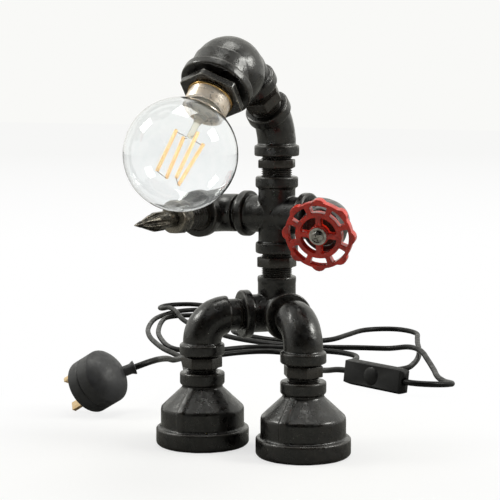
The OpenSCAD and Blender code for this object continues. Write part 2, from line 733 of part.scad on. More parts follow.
// Sweeps a round tube of radius r through the points; no heading may run along the vector side
sides = 10;
function unit(v) = v / norm(v);
function heading(p, i) = unit(p[min(i + 1, len(p) - 1)] - p[max(i - 1, 0)]);
function ring_points(p, i, r, side) = let(a = unit(cross(heading(p, i), side)), b = cross(a, heading(p, i))) [
    for (k = [0 : sides - 1]) p[i] + r * (cos(360 / sides * k) * a + sin(360 / sides * k) * b)
];
module tube(p, r, side = [0, 0, 1]) polyhedron(
    points = [for (i = [0 : len(p) - 1]) each ring_points(p, i, r, side)],
    faces = concat(
        [[for (k = [0 : sides - 1]) k]],
        [for (i = [0 : len(p) - 2], k = [0 : sides - 1]) each [
            [i * sides + k, (i + 1) * sides + k, (i + 1) * sides + (k + 1) % sides],
            [i * sides + k, (i + 1) * sides + (k + 1) % sides, i * sides + (k + 1) % sides]
        ]],
        [[for (k = [sides - 1 : -1 : 0]) (len(p) - 1) * sides + k]]
    )
);

left_foot_at = [column_x + leg_offset * cos(left_leg_angle), column_y + leg_offset * sin(left_leg_angle), 0];
inner_r = 2.6;
joint_z = cross_z + centre_to_face + neck_gap + 7;

// Rounded corner at c, from heading u to heading v
function arc(c, u, v, r) = let(
    turn = acos(u * v), n = unit(v - u * (u * v)), start = c - u * r * tan(turn / 2)
) [for (t = [0 : turn / 6 : turn + seam]) start + u * r * sin(t) + n * r * (1 - cos(t))];

up = [0, 0, 1];
function flat(angle) = [cos(angle), sin(angle), 0];

// Lead inside the left leg and up the column, as far as the turning neck
module inner_lead_body() color(black_plastic) {
    hip = [column_x, column_y, elbow_z];
    in = -flat(left_leg_angle);
    translate(left_foot_at) tube(concat(
        [gland_way * (foot_socket_r + 1) + up * gland_h],
        arc(up * gland_h, -gland_way, up, bend_r),
        [up * (foot_h - socket_depth)]
    ), inner_r, cross(gland_way, up));
    tube(concat(
        [left_foot_at + up * (foot_h - socket_depth - 1)],
        arc(left_foot_at + up * elbow_z, up, in, bend_r),
        arc(hip, in, up, bend_r),
        [hip + up * (joint_z - fit - elbow_z)]
    ), inner_r, cross(in, up));
}

// Lead inside the neck and head, as far as the lampholder
module inner_lead_head() color(black_plastic) {
    back = [sin(45), 0, cos(45)];
    front = [cos(45), 0, -sin(45)];
    neck() tube(concat(
        [up * (joint_z + fit - neck_z)],
        arc([0, 0, 0], up, back, neck_bend_r),
        arc(back * head_reach, back, front, holder_back - 7),
        [back * head_reach + front * (contact_s - 2 - fit)]
    ), inner_r, [0, 1, 0]);
}

// Strain relief at the back of the left foot
module lead_gland() color(black_plastic) translate(left_foot_at) rotate([0, 0, gland_angle])
    translate([foot_bead_r, 0, gland_h]) rotate([0, 90, 0]) difference() {
        union() {
            translate([0, 0, foot_socket_r - foot_bead_r]) cylinder(h = foot_bead_r - foot_socket_r, r = gland_hole_r - fit);
            cylinder(h = 4, r = gland_r);
            translate([0, 0, 4]) cylinder(h = 16, r1 = gland_r - 1, r2 = lead_d / 2 + 0.8);
        }
        translate([0, 0, -big / 2]) cylinder(h = big, r = lead_d / 2 + fit);
    }

switch_at = [-26, 326, 0];
switch_yaw = -19.5;
switch_lean = 8;
plug_at = [-210.5, 93.2, 24];
plug_turn = [0, 60, -5];
plug_roll = -25;

// Laid by hand on the table: out of the gland, round the loops, and in at the switch
gland_way = flat(gland_angle);
lamp_to_switch = [
    left_foot_at + gland_way * (foot_socket_r + 1.2) + up * gland_h,
    left_foot_at + gland_way * (foot_bead_r + 22) + up * gland_h,
    [-93, 98, 8], [-107, 118, 5], [-125, 144, 3], [-160, 194, 3], [-210, 266, 3], [-252, 327, 3],
    [-281, 367, 3], [-305, 387, 3], [-332, 408, 3], [-363, 438, 3], [-393, 471, 3], [-424, 513, 3],
    [-452, 562, 3], [-470, 603, 3], [-477, 640, 3], [-475.5, 668.3, 3], [-462.4, 687.4, 3], [-443.5, 694.9, 3],
    [-421.7, 688.6, 4], [-401, 669.8, 8.5], [-383, 649, 9.6], [-366, 627, 6.5], [-350, 598, 3], [-325, 553, 3],
    [-283, 531, 3], [-246, 525, 3], [-215, 533, 3], [-196, 560, 3], [-195, 600, 3], [-193.8, 641, 3],
    [-175.6, 663.5, 3], [-152.7, 667.3, 3], [-127.8, 650.9, 3], [-111.1, 617.3, 3], [-98, 589, 3],
    [-82, 557, 3], [-67, 525, 3], [-54, 492, 3], [-45.1, 462.3, 3], [-40.4, 433.3, 3], [-51.9, 410.3, 3],
    [-69.8, 401.7, 3], [-89.3, 407.3, 3], [-104.8, 428.8, 3], [-112.4, 458.8, 3], [-123.9, 476.6, 3],
    [-147.4, 486, 3], [-180.1, 483.9, 3], [-220, 480, 3], [-250, 468, 3], [-266, 446, 3], [-277, 423, 3],
    [-296, 411, 3], [-319, 413, 3], [-341, 429, 3], [-369, 460, 3], [-398, 497, 3], [-424, 538, 3],
    [-446.5, 578.6, 3], [-459.3, 610.5, 3], [-451, 634.6, 3], [-430.8, 647.3, 3], [-400.4, 652.8, 3],
    [-376.9, 663.2, 3], [-367.5, 683.2, 3], [-375.5, 706.7, 3], [-401, 721.3, 3], [-431.9, 721.7, 3],
    [-459.9, 722.9, 3], [-491.1, 728.1, 3], [-510.5, 718.5, 3], [-519.7, 700.9, 3], [-515.9, 680, 3],
    [-499, 660.2, 5.5], [-479.2, 647.3, 9.6], [-452, 621, 9.6], [-431, 600, 5.5], [-405, 580, 3],
    [-365, 553, 3], [-312, 519, 3], [-267, 504, 3], [-223, 499, 3], [-179, 508, 3], [-139, 526, 3],
    [-108, 532, 4], [-80, 525, 9], [-56, 505, 9.6], [-36, 478, 6], [-14, 444, 3], [8, 405, 3], [26.5, 380, 4], [37.5, 366, 6],
    [46.4, 352.8, 8.2], [49.2, 341.9, 9.8], [47.3, 329.4, 11.3], [38.9, 318.2, 12.5], [26.1, 312.8, 13],
    [15, 313.4, 13.1], [5.7, 316.7, 13.1]
];
switch_to_plug = [
    [-61.2, 340.4, 13.1], [-64, 341.4, 13.1], [-78, 346.4, 12], [-95, 357, 8], [-112, 375, 4], [-130, 397, 3],
    [-154, 422, 3], [-180, 443, 3], [-203, 454, 3], [-226, 449, 3], [-245, 429, 3], [-257, 402, 3.5],
    [-262, 372, 8], [-256, 345, 11.5], [-242, 301, 16], [-220, 254, 24], [-197, 210, 34], [-178, 172, 41.5],
    [-167.9, 145.6, 45.5], [-166.1, 138, 46.1], [-166.6, 130.2, 45.8], [-169.3, 122.9, 44.4],
    [-173.9, 116.9, 42.2], [-180.8, 110.4, 39]
];

module lead_lamp_to_switch() color(black_plastic) tube(smooth(lamp_to_switch), lead_d / 2);
module lead_switch_to_plug() color(black_plastic) tube(smooth(switch_to_plug), lead_d / 2);

// ---------------------------------------------------------------- inline switch

switch_wall = 2;
switch_corner = 8;
switch_half_t = switch_t / 2;
switch_hole_r = lead_d / 2 + 1;
module at_switch() translate(switch_at) rotate([0, 0, switch_yaw]) rotate([-switch_lean, 0, 0]) children();

// Half of the housing, from its seam at Y = 0 to its drawn-in face
module switch_half() difference() {
    intersection() {
        translate([0, switch_half_t, 0]) standing_plate(switch_len, switch_h, switch_corner, switch_half_t);
        rotate([90, 0, 90]) translate([0, 0, -big / 2]) linear_extrude(big) polygon([
            [0, 0], [switch_half_t, switch_draft], [switch_half_t, switch_h - switch_draft], [0, switch_h]
        ]);
        linear_extrude(big) polygon([
            [-switch_len / 2, 0], [switch_len / 2, 0],
            [switch_len / 2 - switch_draft, switch_half_t], [-switch_len / 2 + switch_draft, switch_half_t]
        ]);
    }
    inset = switch_wall + switch_draft;
    translate([0, switch_half_t - switch_wall, inset])
        standing_plate(switch_len - 2 * inset, switch_h - 2 * inset, switch_corner - inset, switch_half_t);
    translate([-big / 2, 0, switch_h / 2]) rotate([0, 90, 0]) cylinder(h = big, r = switch_hole_r);
}

switch_screw_x = switch_len / 2 - 12;
module switch_back() color(black_plastic) at_switch() difference() {
    switch_half();
    for (x = [-1, 1]) translate([x * switch_screw_x, 0, switch_h / 2 - 6]) rotate([-90, 0, 0])
        cylinder(h = big, r = 1.5 + fit);
}

module switch_front() color(black_plastic) at_switch() difference() {
    mirror([0, 1, 0]) switch_half();
    translate([0, 0, switch_h / 2]) rotate([90, 0, 0]) cylinder(h = big, r = rocker_r + 0.5);
    translate([0, -switch_half_t + 1.5, switch_h / 2]) cylinder(h = rocker_pin_len + 0.4, r = rocker_pin_r + fit, center = true);
}

rocker_tilt = 6;
rocker_pin_r = 1;
rocker_pin_len = 2 * rocker_r + 3;
module at_rocker() at_switch() translate([0, -switch_half_t + 1.5, switch_h / 2]) children();

module switch_rocker() color(black_plastic) at_rocker() rotate([0, 0, rocker_tilt]) {
    rotate([90, 0, 0]) {
        translate([0, 0, -1]) cylinder(h = 1.5, r = rocker_r);
        intersection() {
            cylinder(h = 4, r = rocker_r);
            translate([0, 0, -20]) sphere(r = 23.8);
        }
    }
    cylinder(h = rocker_pin_len, r = rocker_pin_r, center = true);
}

module switch_terminals() color(brass) at_switch() for (x = [-1, 1])
    translate([x * 20 - 2.5, 0.5, switch_h / 2 - 4]) difference() {
        cube([5, switch_half_t - switch_wall - 0.5, 8]);
        translate([-1, 2, 4]) rotate([0, 90, 0]) cylinder(h = 8, r = 1);
    }

module switch_screws() color(steel) at_switch() for (x = [-1, 1])
    translate([x * switch_screw_x, 1, switch_h / 2 - 6]) rotate([-90, 0, 0]) {
        cylinder(h = switch_half_t - 1, r = 1.5);
        translate([0, 0, switch_half_t - 1]) cylinder(h = 0.8, r = 2.4);
    }

// ---------------------------------------------------------------- plug

pin_gap = 22.2;
earth_x = 11;
line_x = earth_x - pin_gap;
earth_pin_len = 22.7;
line_pin_len = 17.7;
pin_root = 8;
plug_wall = 2.4;
plug_head_r = 3;
plug_head_t = 1.2;
fuse_len = 25.4;
fuse_r = 3.15;
sleeve_turn = 112;

// Z points from the pins to the cover, X towards the earth pin
module at_plug() translate(plug_at) rotate(plug_turn) rotate([0, 0, plug_roll]) children();

module earth_pin_solid(grow) translate([earth_x - 4 - grow, -2 - grow, -earth_pin_len])
    cube([8 + 2 * grow, 4 + 2 * grow, earth_pin_len + pin_root]);

module line_pin_solids(grow) for (y = [-1, 1])
    translate([line_x - 2 - grow, y * pin_gap / 2 - 3.2 - grow, -line_pin_len])
        cube([4 + 2 * grow, 6.4 + 2 * grow, line_pin_len + pin_root]);

module plug_base() color(black_plastic) at_plug() difference() {
    bead(plug_r, plug_base_t, 2);
    translate([0, 0, plug_wall]) cylinder(h = plug_base_t, r = plug_r - plug_wall);
    earth_pin_solid(fit);
    line_pin_solids(fit);
    translate([0, 0, -1]) cylinder(h = 6, r = 1.5 + fit);
    translate([0, 0, -seam]) cylinder(h = plug_head_t + 2 * seam, r = plug_head_r + 0.2);
}

module plug_dome(grow) intersection() {
    translate([0, 0, plug_base_t]) cylinder(h = plug_depth - plug_base_t + grow, r = plug_r + grow);
    translate([0, 0, plug_depth - 34]) sphere(r = 34 + grow);
}

module plug_cover() color(black_plastic) at_plug() difference() {
    plug_dome(0);
    difference() {
        plug_dome(-plug_wall);
        translate([0, 0, plug_base_t]) cylinder(h = plug_depth, r = 4);
    }
    translate([0, 0, plug_base_t - 1]) cylinder(h = 1 + seam, r = plug_r - plug_wall);
    translate([0, 0, plug_base_t - 1]) cylinder(h = 8, r = 1.5 + fit);
    sleeve_line() translate([0, 0, 10]) cylinder(h = 40, r = 5 + fit);
}

module plug_earth_pin() color(brass) at_plug() earth_pin_solid(0);
module plug_line_pins() color(brass) at_plug() line_pin_solids(0);

// Lies across the roots of the two line pins
module plug_fuse() color("#d8d2c4") at_plug() translate([line_x + 2, fuse_len / 2, pin_root + fuse_r + 0.02])
    rotate([90, 0, 0]) cylinder(h = fuse_len, r = fuse_r);

module plug_cover_screw() color(steel) at_plug() {
    cylinder(h = plug_head_t, r = plug_head_r);
    cylinder(h = plug_base_t + 6, r = 1.5);
}

// The lead leaves the cover sideways and back
module sleeve_line() translate([0, 0, 12]) rotate([0, 0, sleeve_turn]) rotate([0, 45, 0]) children();

module plug_sleeve() color(black_plastic) at_plug() sleeve_line() difference() {
    union() {
        translate([0, 0, 20]) cylinder(h = 17, r = 5);
        translate([0, 0, 34]) cylinder(h = 4, r1 = 5, r2 = 7);
    }
    cylinder(h = big, r = lead_d / 2 + 0.4);
}

// ---------------------------------------------------------------- nodes

left_foot();
right_foot();
left_leg_nipple();
right_leg_nipple();
left_leg_elbow();
right_leg_elbow();
crotch_fitting();
waist_nipple();
body_cross();
neck_nipple();
neck_elbow();
head_nipple();
head_elbow();
head_bush();
left_arm_elbow();
left_wrist_bush();
left_wrist_stud();
left_hand_collar();
left_hand_bit();
right_arm_elbow();
spindle_bush();
wheel_spindle();
handwheel();
wheel_washer();
wheel_screw();
lampholder_shell();
lampholder_entry();
lampholder_insulator();
lampholder_screw_shell();
lampholder_contact();
lampholder_ring();
bulb_globe();
bulb_cap();
bulb_cap_insulator();
bulb_cap_contact();
bulb_stem();
bulb_filaments();
bulb_support_wires();
inner_lead_body();
inner_lead_head();
lead_gland();
lead_lamp_to_switch();
lead_switch_to_plug();
switch_back();
switch_front();
switch_rocker();
switch_terminals();
switch_screws();
plug_base();
plug_cover();
plug_earth_pin();
plug_line_pins();
plug_fuse();
plug_cover_screw();
plug_sleeve();
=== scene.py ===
"""Studio scene of a robot-shaped desk lamp built from threaded iron pipe fittings.

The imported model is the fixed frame. The castings are softened and roughened, the
threads are cut, the glass and the leads are remade, and every surface gets a
finish worked out from what it is made of. Sizes are in millimetres until a mesh
is made; meshes are in metres.
"""

from __future__ import annotations

import json
import logging
import math
from dataclasses import dataclass, field
from typing import Any, Callable, Mapping, Sequence

import bpy
from mathutils import Matrix, Vector

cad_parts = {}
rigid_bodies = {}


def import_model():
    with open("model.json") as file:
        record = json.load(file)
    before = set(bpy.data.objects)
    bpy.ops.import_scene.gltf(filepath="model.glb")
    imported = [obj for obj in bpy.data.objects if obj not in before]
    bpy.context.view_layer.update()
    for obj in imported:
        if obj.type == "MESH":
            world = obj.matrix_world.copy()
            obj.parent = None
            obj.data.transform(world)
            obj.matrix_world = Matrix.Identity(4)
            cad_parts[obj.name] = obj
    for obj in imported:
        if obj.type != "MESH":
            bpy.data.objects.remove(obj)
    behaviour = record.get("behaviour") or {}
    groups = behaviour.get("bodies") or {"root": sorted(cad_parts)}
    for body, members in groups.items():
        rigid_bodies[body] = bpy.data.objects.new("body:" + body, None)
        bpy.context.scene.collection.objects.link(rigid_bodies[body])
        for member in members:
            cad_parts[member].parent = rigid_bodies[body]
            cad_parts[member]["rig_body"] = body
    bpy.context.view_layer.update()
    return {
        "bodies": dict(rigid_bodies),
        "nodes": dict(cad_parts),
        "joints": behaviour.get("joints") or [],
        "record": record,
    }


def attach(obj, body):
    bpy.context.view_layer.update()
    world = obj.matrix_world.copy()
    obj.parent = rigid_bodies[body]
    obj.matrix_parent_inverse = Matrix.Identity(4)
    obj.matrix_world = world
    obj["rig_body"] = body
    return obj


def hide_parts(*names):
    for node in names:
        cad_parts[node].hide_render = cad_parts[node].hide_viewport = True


LOG = logging.getLogger("lamp")
MM = 0.001
Outline = Sequence[tuple[float, float]]
Point = tuple[float, float, float]
Piece = bpy.types.Object
Socket = bpy.types.NodeSocket
Tree = bpy.types.NodeTree


# ------------------------------------------------------------------ places


def shift(x: float, y: float, z: float) -> Matrix:
    """Returns a move by x, y and z millimetres."""
    return Matrix.Translation(Vector((x, y, z)) * MM)


def turned(axis: str, degrees: float) -> Matrix:
    """Returns a turn about one of the axes X, Y and Z."""
    return Matrix.Rotation(math.radians(degrees), 4, axis)


@dataclass(frozen=True)
class Skeleton:
    """Centre lines of the lamp: each method returns a place whose Z runs along one of them."""

    column_x: float = -4.4336
    column_y: float = 86.9169
    foot_h: float = 62.7
    elbow_z: float = 110.6
    crotch_top: float = 142.5
    cross_z: float = 195.4
    neck_z: float = 270.8
    leg_offset: float = 67.5
    shoulder: float = 60.2
    left_pitch: float = 0.7
    head_turn: float = -1.0
    head_reach: float = 93.0
    left_leg_angle: float = -131.8
    right_leg_angle: float = -41.8
    gland_angle: float = 125.0

    def column(self) -> Matrix:
        """Returns the foot of the column."""
        return shift(self.column_x, self.column_y, 0)

    def leg(self, angle: float) -> Matrix:
        """Returns the floor under one leg, with X towards the column."""
        return self.column() @ turned("Z", angle) @ shift(self.leg_offset, 0, 0) @ turned("Z", 180)

    def left_forearm(self) -> Matrix:
        """Returns the left arm's elbow at rest, with Z out along the forearm."""
        return self.column() @ shift(-self.shoulder, 0, self.cross_z) @ turned("X", 90 + self.left_pitch)

    def neck(self) -> Matrix:
        """Returns the neck elbow's centre."""
        return self.column() @ shift(0, 0, self.neck_z) @ turned("Z", self.head_turn - 90)

    def head_line(self) -> Matrix:
        """Returns the neck elbow's centre, with Z up the sloping neck."""
        return self.neck() @ turned("Y", 45)

    def head(self) -> Matrix:
        """Returns the head's centre, with X out through its mouth."""
        return self.head_line() @ shift(0, 0, self.head_reach)

    def lamp_line(self) -> Matrix:
        """Returns the head's centre, with Z out through its mouth."""
        return self.head() @ turned("Y", 90)

    def left_foot(self) -> Vector:
        """Returns the middle of the left foot on the table, in metres."""
        return (self.leg(self.left_leg_angle) @ Vector((0, 0, 0, 1))).xyz


BONES = Skeleton()


# ------------------------------------------------------------------ finishes


def linear(colour: str) -> tuple[float, float, float, float]:
    """Turns an sRGB hex colour into the linear values that a shader works in.

    Args:
        colour: six hex digits after a hash.

    Returns:
        Red, green, blue and full opacity.
    """
    parts = [int(colour[i : i + 2], 16) / 255 for i in (1, 3, 5)]
    red, green, blue = (c / 12.92 if c <= 0.04045 else ((c + 0.055) / 1.055) ** 2.4 for c in parts)
    return red, green, blue, 1.0


def add_node(
    tree: Tree,
    kind: str,
    settings: Mapping[str, Any] | None = None,
    values: Mapping[Any, Any] | None = None,
    links: Mapping[Any, Socket] | None = None,
) -> bpy.types.Node:
    """Adds a node with its settings, socket values and links.

    Args:
        tree: the node tree that takes it.
        kind: the node's type name.
        settings: properties of the node itself.
        values: socket name or number to value.
        links: socket name or number to the socket that feeds it.

    Returns:
        The new node.
    """
    made = tree.nodes.new(kind)
    for name, value in (settings or {}).items():
        setattr(made, name, value)
    for name, value in (values or {}).items():
        made.inputs[name].default_value = value
    for name, source in (links or {}).items():
        tree.links.new(source, made.inputs[name])
    return made


@dataclass(frozen=True)
class Finish:
    """A surface: two mottled colours, a roughness that wanders, and one or two scales of relief."""

    name: str
    slot: str
    colour: str
    mottle: str
    mottle_mm: float = 8.0
    mottle_from: float = 0.42
    mottle_to: float = 0.62
    roughness: float = 0.45
    roughness_swing: float = 0.1
    metallic: float = 0.0
    specular: float = 0.5
    coat: float = 0.0
    coat_roughness: float = 0.1
    grain_mm: float = 0.8
    grain_um: float = 30.0
    swell_mm: float = 6.0
    swell_um: float = 0.0
    wear_and_highlight: str = ""
    wear_and_highlight_amount: float = 0.0
    worn_and_highlit_from: float = 0.51
    worn_and_highlit_to: float = 0.58
    transmission: float = 0.0
    ior: float = 1.5
    glow: float = 0.0
    subsurface: float = 0.0
    subsurface_m: float = 0.002

    def build(self) -> bpy.types.Material:
        """Returns the material, made the first time it is asked for."""
        known = bpy.data.materials.get(self.name)
        if known:
            return known
        made = bpy.data.materials.new(self.name)
        made.use_nodes = True
        tree = made.node_tree
        tree.nodes.clear()
        place = add_node(tree, "ShaderNodeTexCoord").outputs["Object"]
        spots = self._noise(tree, place, self.mottle_mm, 5.0)
        share = add_node(
            tree, "ShaderNodeMapRange", values={"From Min": self.mottle_from, "From Max": self.mottle_to},
            links={"Value": spots},
        ).outputs[0]
        colour = self._mix(tree, linear(self.colour), linear(self.mottle), share)
        # Convex edges take the edge colour: real wear on most finishes, and a painted highlight on the head
        # bush's corners.
        if self.wear_and_highlight_amount:
            edge = add_node(tree, "ShaderNodeNewGeometry").outputs["Pointiness"]
            worn_and_highlit = add_node(
                tree, "ShaderNodeMapRange", links={"Value": edge},
                values={"From Min": self.worn_and_highlit_from, "From Max": self.worn_and_highlit_to, "To Max": self.wear_and_highlight_amount},
            ).outputs[0]
            colour = self._mix(tree, colour, linear(self.wear_and_highlight), worn_and_highlit)
        shader = add_node(
            tree, "ShaderNodeBsdfPrincipled",
            values={
                "Metallic": self.metallic, "Specular IOR Level": self.specular, "IOR": self.ior,
                "Coat Weight": self.coat, "Coat Roughness": self.coat_roughness,
                "Transmission Weight": self.transmission, "Subsurface Weight": self.subsurface,
                "Subsurface Scale": self.subsurface_m,
            },
            links={"Base Color": colour},
        )
        # Emission in the base colour: a painted glow, where a finish is given one.
        if self.glow:
            shader.inputs["Emission Color"].default_value = linear(self.colour)
            shader.inputs["Emission Strength"].default_value = self.glow
        wander = add_node(
            tree, "ShaderNodeMapRange",
            values={
                "From Min": 0.35, "From Max": 0.65, "To Min": self.roughness - self.roughness_swing,
                "To Max": self.roughness + self.roughness_swing,
            },
            links={"Value": self._noise(tree, place, self.mottle_mm * 0.6, 3.0)},
        )
        tree.links.new(wander.outputs[0], shader.inputs["Roughness"])
        relief = self._bump(tree, self._noise(tree, place, self.grain_mm, 3.0), self.grain_um, None)
        if self.swell_um:
            relief = self._bump(tree, self._noise(tree, place, self.swell_mm, 2.0), self.swell_um, relief)
        tree.links.new(relief, shader.inputs["Normal"])
        add_node(tree, "ShaderNodeOutputMaterial", links={"Surface": shader.outputs[0]})
        return made

    @staticmethod
    def _noise(tree: Tree, place: Socket, size_mm: float, detail: float) -> Socket:
        """Returns noise whose features are about size_mm across."""
        return add_node(
            tree, "ShaderNodeTexNoise", links={"Vector": place},
            values={"Scale": 1 / MM / size_mm, "Detail": detail, "Roughness": 0.55},
        ).outputs[0]

    @staticmethod
    def _mix(tree: Tree, low: Any, high: Any, share: Socket) -> Socket:
        """Returns the blend of two colours, each a colour or a socket."""
        made = add_node(tree, "ShaderNodeMix", {"data_type": "RGBA"}, links={0: share})
        for number, source in ((6, low), (7, high)):
            if isinstance(source, Socket):
                tree.links.new(source, made.inputs[number])
            else:
                made.inputs[number].default_value = source
        return made.outputs[2]

    @staticmethod
    def _bump(tree: Tree, height: Socket, microns: float, under: Socket | None) -> Socket:
        """Returns the normal of a relief that is so many microns deep, over another one if there is one."""
        return add_node(
            tree, "ShaderNodeBump", values={"Strength": 1.0, "Distance": microns * 1e-6},
            links={"Height": height, **({"Normal": under} if under else {})},
        ).outputs[0]


# Black malleable iron, sand cast and varnished: near black, half gloss, with the grain of the
# sand under the varnish and a brown-grey bloom where it has rubbed.
IRON = Finish(
    "malleable_iron_black_varnish", "iron", "#070606", "#191613", mottle_mm=9, roughness=0.34,
    roughness_swing=0.12, specular=0.5, coat=0.26, coat_roughness=0.12, grain_mm=0.9, grain_um=110,
    swell_mm=6, swell_um=330, wear_and_highlight="#5a534b", wear_and_highlight_amount=0.6,
)
# The bush of the head: the same iron with its corners painted pale, partly rubbed bright by the wrench and
# partly a painted highlight where the light catches them.
BUSH_IRON = Finish(
    "malleable_iron_worn_and_highlit_corners", "iron", "#070606", "#191613", mottle_mm=9, roughness=0.3,
    roughness_swing=0.1, specular=0.5, coat=0.38, coat_roughness=0.12, grain_mm=0.9, grain_um=90,
    wear_and_highlight="#b9b4aa", wear_and_highlight_amount=0.9,
)
# The same iron where the thread was cut: bare, oiled and a little brighter along its crests.
CUT_IRON = Finish(
    "malleable_iron_cut_thread", "iron", "#0f0e0e", "#1f1c1a", mottle_mm=6, roughness=0.28, metallic=0.1,
    specular=0.5, grain_mm=0.5, grain_um=25, wear_and_highlight="#5a544d", wear_and_highlight_amount=0.5,
)
# Tool steel, hardened and browned in oil: dark brown with pale ground edges.
TOOL = Finish(
    "tool_steel_browned", "tool_steel", "#25221e", "#5a554c", mottle_mm=5, roughness=0.3, metallic=0.7,
    grain_mm=0.4, grain_um=20, wear_and_highlight="#c4bcae", wear_and_highlight_amount=0.9,
)
# Zinc-plated steel: bright, slightly cool, with fine machining.
STEEL = Finish(
    "steel_zinc_plated", "bright_steel", "#b4b1ac", "#8d8984", mottle_mm=3, roughness=0.24, metallic=1.0,
    grain_mm=0.4, grain_um=8,
)
# Stoved red enamel on cast zinc: deep gloss over a soft casting.
ENAMEL = Finish(
    "red_stoved_enamel", "red_enamel", "#dc2a14", "#b01a0a", mottle_mm=9, roughness=0.3, roughness_swing=0.06,
    specular=0.3, coat=0.65, coat_roughness=0.12, grain_mm=1.6, grain_um=35, swell_mm=6, swell_um=150,
    wear_and_highlight="#c63a26", wear_and_highlight_amount=0.3,
)
# Spun brass, lacquered: warm and bright, drawn round its axis.
BRASS = Finish(
    "brass_spun_lacquered", "brass", "#c9a66b", "#ad8850", mottle_mm=6, roughness=0.26, metallic=1.0,
    grain_mm=0.5, grain_um=8,
)
# The part of the holder that shows: brass washed with nickel, pale and slightly pink.
CHAMPAGNE = Finish(
    "brass_nickel_washed", "brass", "#f3e7da", "#e3d2bf", mottle_mm=7, roughness=0.32, metallic=0.55,
    grain_mm=0.5, grain_um=8,
)
# Brass pins of the plug, drawn and tumbled.
PIN_BRASS = Finish(
    "brass_drawn_pins", "brass", "#ffe2b4", "#f4d09a", mottle_mm=5, roughness=0.38, metallic=0.35,
    grain_mm=0.5, grain_um=8,
)
# Steatite, fired and unglazed.
CERAMIC = Finish(
    "steatite_fired", "ceramic", "#e4ded0", "#d6cfbf", mottle_mm=4, roughness=0.6, grain_mm=0.5, grain_um=15
)
# Blown soda-lime glass: clear, with a hardly visible waviness.
GLASS = Finish(
    "soda_glass_blown", "clear_glass", "#fdfefe", "#fafcfc", roughness=0.01, roughness_swing=0.01,
    transmission=1.0, ior=1.48, grain_mm=30, grain_um=30,
)
# Thin drawn glass of the filament mount, which hardly bends the light.
STEM_GLASS = Finish(
    "lead_glass_drawn", "clear_glass", "#fffdf4", "#fff9e6", roughness=0.16, roughness_swing=0.04,
    transmission=0.8, ior=1.1, grain_mm=30, grain_um=30,
)
# Vitrite between the cap and its contact: black glass.
VITRITE = Finish(
    "vitrite_black_glass", "black_glass", "#151518", "#1e1e22", roughness=0.15, roughness_swing=0.04,
    grain_um=5,
)
# Amber phosphor moulded over the diodes: dull, a little see-through, with a faint painted glow although the
# bulb is not lit.
PHOSPHOR = Finish(
    "amber_phosphor_silicone", "amber", "#fad8a2", "#f6ca88", mottle_mm=3, roughness=0.45, subsurface=0.3,
    glow=0.34, grain_mm=0.5, grain_um=10,
)
# Soft black PVC of the leads: satin, with the faint lay of its cores.
PVC = Finish(
    "pvc_sheath_black", "black_rubber", "#060606", "#0a0a0a", mottle_mm=12, roughness=0.4, specular=0.22,
    grain_mm=0.7, grain_um=18,
)
# Moulded black ABS of the switch: fine spark-eroded texture.
ABS = Finish(
    "abs_moulded_black", "black_plastic", "#0b0b0c", "#111112", mottle_mm=10, roughness=0.46, specular=0.28,
    grain_mm=0.45, grain_um=22, wear_and_highlight="#2a2a2c", wear_and_highlight_amount=0.3,
)
# Rubber-filled nylon of the plug: greyer and duller.
NYLON = Finish(
    "nylon_moulded_charcoal", "black_plastic", "#272729", "#2e2e31", mottle_mm=9, roughness=0.5, grain_mm=0.6,
    grain_um=30, wear_and_highlight="#55565a", wear_and_highlight_amount=0.4,
)


# ------------------------------------------------------------------ the bench: making and dressing meshes


